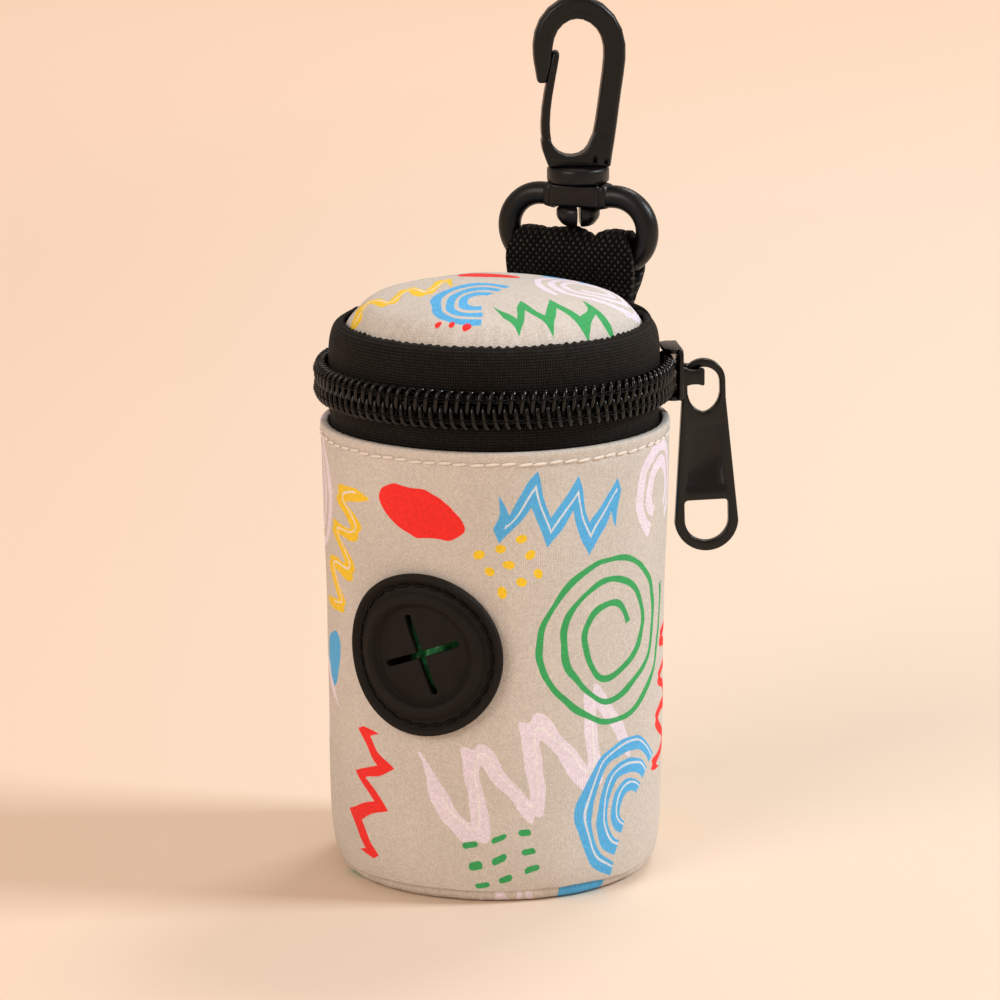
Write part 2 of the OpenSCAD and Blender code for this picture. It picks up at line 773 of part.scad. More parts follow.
// Section of the hook's bar, with bevelled edges
module bar_section() {
    x = hook_bar / 2;
    y = hook_t / 2;
    polygon([[x, bevel - y], [x, y - bevel], [x - bevel, y], [bevel - x, y],
        [-x, y - bevel], [-x, bevel - y], [bevel - x, -y], [x - bevel, -y]]);
}

// Split stem with barbed prongs, below the collar
module prongs() {
    difference() {
        union() {
            translate([0, 0, prong_top - cut / 10])
                cylinder(r = stem_r, h = collar_foot - prong_top + cut / 5);
            rotate_extrude() polygon([[0, prong_top], [prong_r, prong_top],
                [prong_r, prong_top - prong_straight], [prong_tip_r, prong_top - prong_l],
                [0, prong_top - prong_l]]);
        }
        translate([-prong_slot / 2, -prong_r - cut, prong_top - prong_l - cut])
            cube([prong_slot, 2 * prong_r + 2 * cut, prong_l + boss_h + cut]);
    }
}

// Foot of the hook: the floor of its eye and the root of its gate
module hook_foot() {
    rotate([90, 0, 0]) linear_extrude(hook_t, center = true)
        difference() {
            polygon([[foot_reach - collar_r, -cut / 10], [collar_r + foot_reach, -cut / 10],
                [side_x(eye_mid_z) + hook_bar / 2, eye_mid_z], [gate_x - gate_t / 2, eye_mid_z]]);
            translate([eye_x, eye_mid_z]) circle(r = eye_r);
        }
}

// Middle of the slanted side bar at a height above the collar
function side_x(z) = bend_x + bend_mid_r * cos(side_slant)
    - (bend_z - bend_mid_r * sin(side_slant) - z) * tan(side_slant);

module hook_body() {
    side_top = bend_z - bend_mid_r * sin(side_slant);
    nose = [[bend_x - hook_r, bend_z + 0.01], [bend_x - hook_r + hook_bar, bend_z + 0.01],
        [nose_tip_in, nose_foot], [nose_tip_in - 1, nose_foot - 0.3],
        [nose_tip_in - 1.45, nose_foot + 0.1]];
    color([0.1, 0.1, 0.1])
    translate([hang_x, hang_y, 0]) rotate([0, 0, hook_turn]) {
        prongs();
        translate([0, 0, collar_foot]) cylinder(r = collar_r, h = collar_h);
        translate([0, 0, hook_z]) {
            hook_foot();
            translate([bend_x, 0, bend_z]) rotate([90, 0, 0]) rotate([0, 0, -side_slant])
                rotate_extrude(angle = 180 + side_slant)
                    translate([bend_mid_r, 0]) bar_section();
            translate([side_x(side_top), 0, side_top]) rotate([0, 180 + side_slant, 0])
                linear_extrude(side_top / cos(side_slant) - 0.4) bar_section();
            rotate([90, 0, 0]) linear_extrude(hook_t - bevel, center = true) polygon(nose);
        }
    }
}

// Springy tongue that closes the hook
module hook_gate() {
    nose_in = bend_x - hook_r + hook_bar;
    lean = atan((nose_in - nose_tip_in) / (bend_z - nose_foot));
    tip = [nose_in - 0.9 * tan(lean) + nose_fit + gate_t / 2 / cos(lean), bend_z - 0.9];
    heel = [nose_tip_in - 0.35 + nose_fit + gate_t / 2 / cos(lean), nose_foot - 0.35 / tan(lean)];
    root = [gate_x, gate_z];
    upper = across(heel, tip);
    lower = across(root, heel);
    middle = unit(upper + lower);
    color([0.1, 0.1, 0.1])
    translate([hang_x, hang_y, hook_z]) rotate([0, 0, hook_turn])
        rotate([90, 0, 0]) linear_extrude(gate_depth, center = true)
            polygon(concat(round_end(tip, upper, gate_t / 2), [heel - middle * gate_t / 2],
                round_end(root, -lower, gate_t / 2), [heel + middle * gate_t / 2]));
}

// Unit vector square to the way from one point to another, on its left
function across(from, to) = unit([from[1] - to[1], to[0] - from[0]]);

// Half circle round the end of a band, from the side that the vector points to
function round_end(p, side, r) = [for (a = [180 : -20 : 0])
    p + r * (-cos(a) * side + sin(a) * [side[1], -side[0]])];

// ---- bags ----

module roll_core() {
    color([0.72, 0.6, 0.45])
    translate([0, 0, roll_foot])
        difference() {
            cylinder(r = core_r, h = roll_h);
            translate([0, 0, -cut]) cylinder(r = core_r - core_t, h = roll_h + 2 * cut);
        }
}

module bag_roll() {
    color([0.2, 0.55, 0.35])
    translate([0, 0, roll_foot])
        difference() {
            cylinder(r = roll_r, h = roll_h);
            translate([0, 0, -cut]) cylinder(r = core_r + ply_gap, h = roll_h + 2 * cut);
        }
}

side_fabric();
side_foam();
side_lining();
base_fabric();
base_board();
base_lining();
seam_binding();
lower_tape();
lower_coil();
zip_stops();
hinge_lower();
outlet();
lid_fabric();
lid_foam();
lid_lining();
upper_tape();
upper_coil();
hinge_upper();
strap_tail();
slider_body();
slider_bail();
pull_tab();
strap();
swivel_ring();
hook_body();
hook_gate();
roll_core();
bag_roll();
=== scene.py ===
"""Dog poop bag dispenser: a padded cloth pouch with a zipped lid, a rubber outlet and a webbing
loop with a swivel hook. Pieces are drawn in millimetres and place() turns them into metres.
The pouch stands on its base at the origin, and its front faces -Y."""

import json
import math

import bmesh
import bpy
from mathutils import Matrix, Vector, noise
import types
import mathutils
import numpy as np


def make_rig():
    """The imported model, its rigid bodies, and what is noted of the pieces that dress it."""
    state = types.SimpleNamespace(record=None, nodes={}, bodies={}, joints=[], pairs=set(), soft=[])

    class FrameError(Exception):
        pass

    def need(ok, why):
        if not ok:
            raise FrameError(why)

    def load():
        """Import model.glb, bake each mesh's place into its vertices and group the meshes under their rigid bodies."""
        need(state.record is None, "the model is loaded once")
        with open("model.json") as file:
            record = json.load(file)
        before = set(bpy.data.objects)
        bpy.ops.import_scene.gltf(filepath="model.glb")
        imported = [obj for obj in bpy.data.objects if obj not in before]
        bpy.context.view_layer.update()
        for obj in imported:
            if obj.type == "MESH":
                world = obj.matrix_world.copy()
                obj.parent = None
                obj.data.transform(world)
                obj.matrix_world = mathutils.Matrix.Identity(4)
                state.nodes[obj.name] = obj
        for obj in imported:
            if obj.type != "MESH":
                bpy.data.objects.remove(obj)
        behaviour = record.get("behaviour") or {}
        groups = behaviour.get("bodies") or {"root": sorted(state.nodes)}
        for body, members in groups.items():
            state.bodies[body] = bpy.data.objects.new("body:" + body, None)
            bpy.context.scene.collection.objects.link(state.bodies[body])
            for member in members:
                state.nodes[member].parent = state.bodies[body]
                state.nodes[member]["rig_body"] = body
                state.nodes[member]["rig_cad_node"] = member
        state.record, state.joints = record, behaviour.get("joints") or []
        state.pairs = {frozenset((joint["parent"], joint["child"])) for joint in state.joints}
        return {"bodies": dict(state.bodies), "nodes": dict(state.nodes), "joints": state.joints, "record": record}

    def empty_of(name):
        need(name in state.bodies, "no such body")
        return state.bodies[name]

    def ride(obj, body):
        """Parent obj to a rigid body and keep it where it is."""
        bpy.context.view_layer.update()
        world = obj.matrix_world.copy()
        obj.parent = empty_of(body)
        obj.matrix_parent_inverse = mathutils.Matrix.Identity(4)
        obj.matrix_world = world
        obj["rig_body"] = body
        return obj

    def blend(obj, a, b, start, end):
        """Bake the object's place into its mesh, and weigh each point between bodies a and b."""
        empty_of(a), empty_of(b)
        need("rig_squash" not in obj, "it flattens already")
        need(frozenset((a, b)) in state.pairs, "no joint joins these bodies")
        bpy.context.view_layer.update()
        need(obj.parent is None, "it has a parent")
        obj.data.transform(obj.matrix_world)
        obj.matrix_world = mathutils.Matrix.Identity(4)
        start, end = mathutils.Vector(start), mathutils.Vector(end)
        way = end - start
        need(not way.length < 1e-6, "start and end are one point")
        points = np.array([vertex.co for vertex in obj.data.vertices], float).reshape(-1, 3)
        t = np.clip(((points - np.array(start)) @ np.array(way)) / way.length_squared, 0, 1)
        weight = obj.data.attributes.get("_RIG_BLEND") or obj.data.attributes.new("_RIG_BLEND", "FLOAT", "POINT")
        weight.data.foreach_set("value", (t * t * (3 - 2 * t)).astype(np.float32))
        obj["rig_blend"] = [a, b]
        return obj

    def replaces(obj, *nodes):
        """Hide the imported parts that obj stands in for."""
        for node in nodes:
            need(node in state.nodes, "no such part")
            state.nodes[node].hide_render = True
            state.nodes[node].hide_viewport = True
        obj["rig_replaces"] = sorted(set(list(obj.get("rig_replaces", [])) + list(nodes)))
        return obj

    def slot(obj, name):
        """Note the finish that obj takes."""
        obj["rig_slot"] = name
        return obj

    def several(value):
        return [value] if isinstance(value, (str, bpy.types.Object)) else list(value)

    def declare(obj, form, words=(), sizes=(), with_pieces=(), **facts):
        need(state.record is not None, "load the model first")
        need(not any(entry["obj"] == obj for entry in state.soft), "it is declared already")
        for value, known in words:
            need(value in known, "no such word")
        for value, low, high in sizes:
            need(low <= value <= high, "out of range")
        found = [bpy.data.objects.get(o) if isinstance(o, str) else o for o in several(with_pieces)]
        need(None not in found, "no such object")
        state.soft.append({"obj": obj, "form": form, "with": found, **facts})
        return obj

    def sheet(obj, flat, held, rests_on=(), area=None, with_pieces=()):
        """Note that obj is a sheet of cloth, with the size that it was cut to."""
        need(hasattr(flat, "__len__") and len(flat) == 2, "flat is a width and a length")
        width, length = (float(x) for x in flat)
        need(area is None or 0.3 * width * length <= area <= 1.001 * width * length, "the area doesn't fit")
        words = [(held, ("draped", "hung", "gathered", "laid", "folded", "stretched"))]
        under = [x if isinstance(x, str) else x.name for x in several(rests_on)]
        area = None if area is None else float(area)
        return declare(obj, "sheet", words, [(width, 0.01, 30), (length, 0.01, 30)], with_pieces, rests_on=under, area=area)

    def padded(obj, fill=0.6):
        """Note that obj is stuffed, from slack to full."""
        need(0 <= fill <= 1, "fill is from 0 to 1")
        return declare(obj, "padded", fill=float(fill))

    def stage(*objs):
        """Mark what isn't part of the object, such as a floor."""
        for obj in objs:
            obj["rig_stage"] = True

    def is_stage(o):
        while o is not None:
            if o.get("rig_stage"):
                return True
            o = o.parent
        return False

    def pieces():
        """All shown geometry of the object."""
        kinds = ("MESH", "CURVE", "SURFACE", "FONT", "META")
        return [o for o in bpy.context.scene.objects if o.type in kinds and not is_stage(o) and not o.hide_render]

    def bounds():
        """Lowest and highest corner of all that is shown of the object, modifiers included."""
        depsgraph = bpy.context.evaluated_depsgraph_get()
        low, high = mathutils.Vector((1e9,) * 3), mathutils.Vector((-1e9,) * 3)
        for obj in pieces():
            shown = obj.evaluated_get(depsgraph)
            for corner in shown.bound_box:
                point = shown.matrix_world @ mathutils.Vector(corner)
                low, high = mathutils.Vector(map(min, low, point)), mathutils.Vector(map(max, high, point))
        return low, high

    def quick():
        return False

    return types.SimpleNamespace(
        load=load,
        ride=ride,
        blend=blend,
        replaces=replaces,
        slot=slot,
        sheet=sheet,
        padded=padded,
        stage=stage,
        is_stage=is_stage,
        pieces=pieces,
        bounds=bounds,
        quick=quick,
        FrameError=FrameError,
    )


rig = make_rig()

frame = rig.load()
cad_box = [list(corner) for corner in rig.bounds()]

MM = 0.001
TURN = 2 * math.pi

# Heights and radii that the pieces share, as in the part's source
HEM_Z = 67.2
ZIP_Z = 73.3
TAPE_R = 24.18
TAPE_END = 132
LID_SEAM_Z = 81.5
LID_R = 21.63
DOME_TOP = 87.5
DOME_FULLNESS = 1.7
OUTLET_Z = 37.2
OUTLET_TURN = -3.75
OUTLET_HOLE_R = 7.1
HANG_X = 3.1
HANG_Y = 27.0
SLIDER_AT = 117.5
PRINT_R = 25.0  # radius at which distances round the pouch are measured


def wall_r(z):
    """Outer radius of the cloth tube at a height."""
    return 24.6 + 0.95 * (z / HEM_Z) ** 2 - 1.6 * math.exp(-z / 2.5)


def round_at(angle, radius, z):
    """A point round the pouch: angle 0 is the front and grows towards +X."""
    a = math.radians(angle)
    return Vector((radius * math.sin(a), -radius * math.cos(a), z))


def angle_of(co):
    """The angle round the pouch of a point, in degrees."""
    return math.degrees(math.atan2(co.x, -co.y))


# ---------------------------------------------------------------- node trees


class Value:
    """An output of a node, so that sums read as they do with numbers."""

    def __init__(self, tree, socket):
        self.tree, self.socket = tree, socket

    def __add__(self, other):
        return self.tree.maths("ADD", self, other)

    def __sub__(self, other):
        return self.tree.maths("SUBTRACT", self, other)

    def __rsub__(self, other):
        return self.tree.maths("SUBTRACT", other, self)

    def __mul__(self, other):
        return self.tree.maths("MULTIPLY", self, other)

    def __truediv__(self, other):
        return self.tree.maths("DIVIDE", self, other)

    def __rtruediv__(self, other):
        return self.tree.maths("DIVIDE", other, self)

    def __pow__(self, other):
        return self.tree.maths("POWER", self, other)

    def __gt__(self, other):
        return self.tree.maths("GREATER_THAN", self, other)

    def __lt__(self, other):
        return self.tree.maths("LESS_THAN", self, other)

    def __abs__(self):
        return self.tree.maths("ABSOLUTE", self)

    def __round__(self):
        return self.tree.maths("ROUND", self)


class Tree:
    """Short calls for building one node tree."""

    def __init__(self, tree):
        self.tree = tree

    def add(self, kind, sockets=None, **settings):
        node = self.tree.nodes.new(kind)
        for name, value in settings.items():
            setattr(node, name, value)
        for name, value in (sockets or {}).items():
            self.feed(node.inputs[name], value)
        return node

    def feed(self, socket, value):
        if isinstance(value, Value):
            self.tree.links.new(value.socket, socket)
        else:
            socket.default_value = value

    def out(self, node, name=0):
        return Value(self, node.outputs[name])

    def maths(self, operation, a, b=0.0):
        return self.out(self.add("ShaderNodeMath", {0: a, 1: b}, operation=operation))

    def vector(self, operation, a, b=(0, 0, 0)):
        return self.out(self.add("ShaderNodeVectorMath", {0: a, 1: b}, operation=operation))

    def scaled(self, vector, scale):
        return self.out(self.add("ShaderNodeVectorMath", {0: vector, "Scale": scale}, operation="SCALE"))

    def split(self, vector):
        node = self.add("ShaderNodeSeparateXYZ", {0: vector})
        return [self.out(node, i) for i in range(3)]

    def join(self, x, y, z=0.0):
        return self.out(self.add("ShaderNodeCombineXYZ", {0: x, 1: y, 2: z}))

    def root(self, value):
        return self.maths("SQRT", value)

    def floor(self, value):
        return self.maths("FLOOR", value)

    def clamped(self, value):
        value.socket.node.use_clamp = True
        return value

    def blend(self, factor, a, b):
        node = self.add("ShaderNodeMix", data_type="RGBA", clamp_factor=True)
        for socket, value in zip((0, 6, 7), (factor, a, b)):
            self.feed(node.inputs[socket], value)
        return self.out(node, 2)

    def between(self, value, low, high):
        """Smooth ramp from 0 at low to 1 at high."""
        return self.out(self.add("ShaderNodeMapRange", {"Value": value, "From Min": low, "From Max": high},
                                 interpolation_type="SMOOTHSTEP"))

    def noise(self, vector, scale, detail=2.0, roughness=0.5, output="Fac"):
        return self.out(self.add("ShaderNodeTexNoise", {"Vector": vector, "Scale": scale, "Detail": detail,
                                                        "Roughness": roughness}), output)

    def use(self, group, **sockets):
        """Places a shader group with its own values and gives its outputs by name."""
        node = self.add("ShaderNodeGroup", sockets, node_tree=group)
        return {socket.name: Value(self, socket) for socket in node.outputs}

    def here(self, way):
        """Millimetres on the object, as "Wall" (round the pouch, up, out) or "Flat" (x, y, z)."""
        point = self.out(self.add("ShaderNodeTexCoord"), "Object")
        return self.use(ROUND, Place=point)[way]


def shader_group(name, draw, outputs, kind="NodeSocketFloat", **sizes):
    """A shader group that takes a Place and sizes, and gives what draw returns."""
    group = bpy.data.node_groups.new(name, "ShaderNodeTree")
    group.interface.new_socket("Place", in_out="INPUT", socket_type="NodeSocketVector")
    for size, value in sizes.items():
        socket = group.interface.new_socket(size, in_out="INPUT", socket_type="NodeSocketFloat")
        socket.default_value = value
    for output in outputs:
        group.interface.new_socket(output, in_out="OUTPUT", socket_type=kind)
    t = Tree(group)
    given = t.add("NodeGroupInput")
    results = draw(t, *(t.out(given, size) for size in ("Place", *sizes)))
    end = t.add("NodeGroupOutput")
    for output, value in zip(outputs, results):
        t.feed(end.inputs[output], value)
    return group


def draw_round_map(t, point):
    """Object coordinates to millimetres round the pouch and up it."""
    flat = t.scaled(point, 1 / MM)
    x, y, z = t.split(flat)
    angle = t.maths("ARCTAN2", x, y * -1.0)
    return t.join(angle * PRINT_R, z, t.root(x * x + y * y)), flat


def draw_weave(t, at, warp_width, weft_width, wander):
    """Plain weave: warp and weft pass over each other thread by thread."""
    x, y, _ = t.split(at)
    drift = (t.noise(at, 0.35, 1.0) - 0.5) * wander
    across, along = (x + drift) / warp_width, (y - drift) / weft_width
    warp, weft = t.maths("SINE", across * math.pi), t.maths("SINE", along * math.pi)
    over = warp * weft > 0.0
    warp, weft = abs(warp), abs(weft)
    top = t.root(warp) * (weft * 0.6 + 0.4)
    side = t.root(weft) * (warp * 0.6 + 0.4)
    height = over * top + (1.0 - over) * side
    number = t.join(t.floor(across), t.floor(along))
    shade = t.out(t.add("ShaderNodeTexWhiteNoise", {"Vector": number}, noise_dimensions="2D"), "Value")
    return height, t.between(height, 0.45, 0.05), over, shade


def draw_lint(t, at, size, spacing):
    """Dust: small pale specks."""
    cells = t.add("ShaderNodeTexVoronoi", {"Vector": at, "Scale": 1.0 / spacing})
    pick = t.split(t.out(cells, "Color"))
    size = size * pick[0] ** 3.0
    return [t.between(t.out(cells, "Distance") * spacing, size, size * 0.4) * (pick[1] > 0.45)]


def draw_mottle(t, at, broad, fine):
    """Broad and fine patches round a value of one."""
    patches = (t.noise(at, 0.09, 2.0) - 0.5) * broad + 1.0
    return [(t.noise(at, 1.7, 3.0, 0.65) - 0.5) * fine + patches]


def draw_moulding(t, at, grain, streak):
    """Skin of a moulded part: fine grain, faint flow streaks and rubbed spots."""
    streaks = t.noise(t.vector("MULTIPLY", at, (1.0, 1.0, 0.12)), 0.9, 3.0, 0.6)
    rub = t.between(t.noise(at, 0.55, 4.0, 0.7), 0.56, 0.72) * t.between(t.noise(at, 5.0, 2.0), 0.4, 0.7)
    return streaks * streak + t.noise(at, grain, 4.0, 0.6), rub, streaks


# ---------------------------------------------------------------- doodle groups


def pen_mask(t, at, off, pen, grain, swell, least):
    """One where a point is nearer a stroke's middle line than half the pen, which presses unevenly."""
    edge = pen * 0.5 * (t.noise(at, grain, 1.0) * swell + least)
    return t.between(off, edge + 0.06, edge - 0.06)


def draw_line_doodle(t, at, length, swing, repeats, corner, pen):
    """A wavy or zigzag pen stroke along x, with its middle at the motif's place."""
    x, y, _ = t.split(at)
    turns = x / length * repeats
    rate = repeats / length * swing
    round_share = 1.0 - corner
    smooth = t.maths("SINE", turns * TURN)
    sharp = t.maths("PINGPONG", turns + 0.25, 0.5) * 4.0 - 1.0
    path = smooth * round_share + sharp * corner
    steep = rate * TURN * t.maths("COSINE", turns * TURN) * round_share + rate * 4.0 * corner
    off = abs(y - path * swing) / t.root(steep * steep + 1.0)
    off = t.maths("MAXIMUM", off, abs(x) - length * 0.5)
    return [pen_mask(t, at, off, pen, 0.18, 0.7, 0.62)]


def draw_ring_doodle(t, at, inner, rings, step, spiral, share, pen):
    """Rings, arcs and spirals drawn with a pen."""
    x, y, _ = t.split(at)
    way = t.maths("ARCTAN2", y, x) * (1 / TURN) + 0.5
    number = (t.root(x * x + y * y) - inner) / step - way * spiral
    nearest = t.maths("MINIMUM", t.maths("MAXIMUM", round(number), 0.0), rings - 1.0)
    off = abs(number - nearest) * step
    return [pen_mask(t, at, off, pen, 0.2, 0.8, 0.6) * (way < share)]


def draw_dash_doodle(t, at, wide, high, across, up, dash, pen):
    """Rows of short dashes or dots inside a patch."""
    x, y, _ = t.split(at)
    column, row = round(x / across), round(y / up)
    run = t.maths("MAXIMUM", abs(x - column * across) - dash * 0.5, 0.0)
    rise = abs(y - row * up)
    half = pen * 0.5
    mask = t.between(t.root(run * run + rise * rise), half + 0.05, half - 0.05)
    return [mask * (abs(column * across) < wide * 0.5) * (abs(row * up) < high * 0.5)]


def draw_pebble_doodle(t, at, wide, high):
    """A filled pebble with a wobbly outline."""
    x, y, _ = t.split(at)
    x, y = x / (wide * 0.5), y / (high * 0.5)
    bend = x * x * 0.28 + y
    radius = t.root(x * x + bend * bend)
    return [t.between(radius - (t.noise(at, 0.22, 1.0) * 0.5 + 0.75), 0.015, -0.015)]


ROUND = shader_group("round_the_pouch", draw_round_map, ["Wall", "Flat"], "NodeSocketVector")
WEAVE = shader_group("plain_weave", draw_weave, ["Height", "Gap", "Over", "Thread"],
                     Warp=0.4, Weft=0.4, Wander=0.1)
LINT = shader_group("lint", draw_lint, ["Mask"], Size=0.12, Spacing=2.0)
MOTTLE = shader_group("mottle", draw_mottle, ["Shade"], Broad=0.1, Fine=0.1)
SKIN = shader_group("moulded_skin", draw_moulding, ["Height", "Rub", "Streaks"], Grain=3.0, Streak=0.4)
DOODLES = {
    "line": shader_group("line_doodle", draw_line_doodle, ["Mask"],
                         Length=20.0, Swing=4.0, Repeats=3.0, Corner=0.0, Pen=1.6),
    "ring": shader_group("ring_doodle", draw_ring_doodle, ["Mask"],
                         Inner=3.0, Rings=3.0, Step=2.0, Spiral=0.0, Share=1.0, Pen=1.2),
    "dash": shader_group("dash_doodle", draw_dash_doodle, ["Mask"],
                         Wide=12.0, High=5.0, Across=3.0, Up=2.4, Dash=1.2, Pen=0.9),
    "pebble": shader_group("pebble_doodle", draw_pebble_doodle, ["Mask"], Wide=10.0, High=6.0),
}


# ---------------------------------------------------------------- materials


def srgb(red, green, blue):
    """A colour picked on screen, from 0 to 255, as Blender's linear colour."""
    def linear(value):
        value /= 255
        return value / 12.92 if value <= 0.04045 else ((value + 0.055) / 1.055) ** 2.4

    return (linear(red), linear(green), linear(blue), 1.0)


PRINT_RED = srgb(250, 16, 8)
PRINT_GREEN = srgb(38, 168, 90)
PRINT_BLUE = srgb(78, 180, 240)
PRINT_YELLOW = srgb(252, 208, 26)
PRINT_LILAC = srgb(240, 228, 242)
PRINT_WHITE = srgb(244, 242, 240)
BROAD_PEN = 2.0  # a stroke wider than this has a white line in it


def material(name, colour, roughness, **sockets):
    """A Principled material: the material, its Tree and its shader's inputs."""
    made = bpy.data.materials.new(name)
    made.use_nodes = True
    shader = made.node_tree.nodes["Principled BSDF"].inputs
    shader["Base Color"].default_value = colour
    shader["Roughness"].default_value = roughness
    for socket, value in sockets.items():
        shader[socket.replace("_", " ")].default_value = value
    made.diffuse_color = colour
    return made, Tree(made.node_tree), shader


def finish(t, shader, colour, roughness, height, strength, depth):
    """Gives a material its colour, roughness and bump."""
    bump = t.add("ShaderNodeBump", {"Height": height, "Strength": strength, "Distance": depth})
    t.feed(shader["Base Color"], colour)
    t.feed(shader["Roughness"], roughness)
    t.feed(shader["Normal"], t.out(bump))


def doodle(t, place, kind, x, y, turn, **sizes):
    """One motif, turned by degrees and moved to x, y in millimetres."""
    mapped = t.add(
        "ShaderNodeMapping",
        {"Vector": place, "Location": (x, y, 0), "Rotation": (0, 0, math.radians(turn))},
        vector_type="TEXTURE",
    )
    return t.use(DOODLES[kind], Place=t.out(mapped), **sizes)["Mask"]


# Motif, place in millimetres (round the pouch or across the lid, and up it), turn, colour, sizes
WALL_DOODLES = [
    ("line", 15, 20.5, 22, PRINT_LILAC, dict(Length=29, Swing=5.2, Repeats=3.0, Pen=3.0)),
    ("ring", 28, 39, 200, PRINT_GREEN, dict(Inner=4.0, Rings=3, Step=3.3, Spiral=1, Pen=1.0)),
    ("line", 19, 58, -9, PRINT_BLUE, dict(Length=17, Swing=3.2, Repeats=2.5, Corner=1, Pen=2.4)),
    ("pebble", -2, 58.3, -16, PRINT_RED, dict(Wide=14, High=6.6)),
    ("line", -18, 50, 68, PRINT_YELLOW, dict(Length=19, Swing=2.2, Repeats=3.0, Pen=2.3)),
    ("ring", 39, 58, 130, PRINT_LILAC, dict(Inner=3.4, Rings=2, Step=2.4, Share=0.82, Pen=1.7)),
    ("ring", 32, 12, 225, PRINT_BLUE, dict(Inner=3.2, Rings=3, Step=3.0, Share=0.56, Pen=2.1)),
    ("line", -12, 15, 78, PRINT_RED, dict(Length=17, Swing=2.6, Repeats=2.5, Corner=1, Pen=1.8)),
    ("dash", 10, 7, 12, PRINT_GREEN, dict(Wide=13, High=6, Across=3.9, Up=2.9, Dash=1.2, Pen=1.0)),
    ("dash", 11.5, 50.5, 30, PRINT_YELLOW, dict(Wide=9, High=7, Across=2.9, Up=2.9, Dash=0, Pen=1.4)),
    ("line", 45, 27, 78, PRINT_RED, dict(Length=21, Swing=2.8, Repeats=3.5, Pen=1.7)),
    ("pebble", -23, 33, 70, PRINT_BLUE, dict(Wide=9, High=6)),
    ("ring", -30, 57, 20, PRINT_LILAC, dict(Inner=2.5, Rings=3, Step=2.6, Spiral=1, Pen=1.5)),
    ("line", 58, 46, -62, PRINT_BLUE, dict(Length=24, Swing=3.6, Repeats=3, Pen=2.6)),
    ("ring", 60, 15, 70, PRINT_YELLOW, dict(Inner=3.2, Rings=3, Step=2.8, Share=0.7, Pen=1.8)),
    ("pebble", 70, 60, 10, PRINT_LILAC, dict(Wide=13, High=7)),
    ("line", 73, 33, 15, PRINT_GREEN, dict(Length=22, Swing=4, Repeats=3, Corner=1, Pen=1.5)),
    ("line", -36, 22, 40, PRINT_LILAC, dict(Length=26, Swing=4.6, Repeats=3, Corner=1, Pen=2.8)),
    ("ring", -48, 50, 10, PRINT_RED, dict(Inner=3.0, Rings=3, Step=2.8, Share=0.6, Pen=1.8)),
    ("dash", -46, 10, -20, PRINT_BLUE, dict(Wide=15, High=8, Across=3.9, Up=2.9, Dash=1.4, Pen=1.1)),
    ("line", -65, 28, -70, PRINT_YELLOW, dict(Length=26, Swing=3.6, Repeats=3.5, Pen=2.4)),
    ("ring", -71, 57, 0, PRINT_GREEN, dict(Inner=2.8, Rings=3, Step=2.6, Spiral=1, Pen=1.0)),
]
LID_DOODLES = [
    ("ring", 2, -11, 250, PRINT_BLUE, dict(Inner=2.6, Rings=3, Step=2.0, Share=0.62, Pen=1.3)),
    ("line", -12, -8, 28, PRINT_YELLOW, dict(Length=14, Swing=2.2, Repeats=2.5, Pen=2.1)),
    ("line", 13, -10, 38, PRINT_GREEN, dict(Length=15, Swing=2.6, Repeats=3, Corner=1, Pen=1.4)),
    ("pebble", -2, 3, 20, PRINT_RED, dict(Wide=9, High=5.4)),
    ("ring", 13, 5, 80, PRINT_LILAC, dict(Inner=2.2, Rings=3, Step=2.0, Spiral=1, Pen=1.1)),
    ("dash", -12, 8, 50, PRINT_GREEN, dict(Wide=11, High=6, Across=3.2, Up=2.5, Dash=1.2, Pen=0.9)),
    ("line", 1, 14, -8, PRINT_BLUE, dict(Length=17, Swing=2.4, Repeats=3, Pen=1.9)),
    ("dash", 1, -18.5, 4, PRINT_RED, dict(Wide=8, High=4, Across=2.4, Up=2.4, Dash=0, Pen=1.1)),
]

BASE_DOODLES = [
    ("pebble", 18.4, -13.2, 40, PRINT_BLUE, dict(Wide=8, High=5)),
    ("line", 9.5, -20, 20, PRINT_LILAC, dict(Length=7, Swing=1.2, Repeats=2, Pen=0.9)),
    ("pebble", -15.5, -15, -40, PRINT_GREEN, dict(Wide=5, High=3.4)),
    ("ring", 0, 2, 30, PRINT_YELLOW, dict(Inner=3.0, Rings=3, Step=2.4, Share=0.7, Pen=1.1)),
    ("line", -8, 12, 10, PRINT_RED, dict(Length=16, Swing=3, Repeats=3, Corner=1, Pen=1.3)),
]


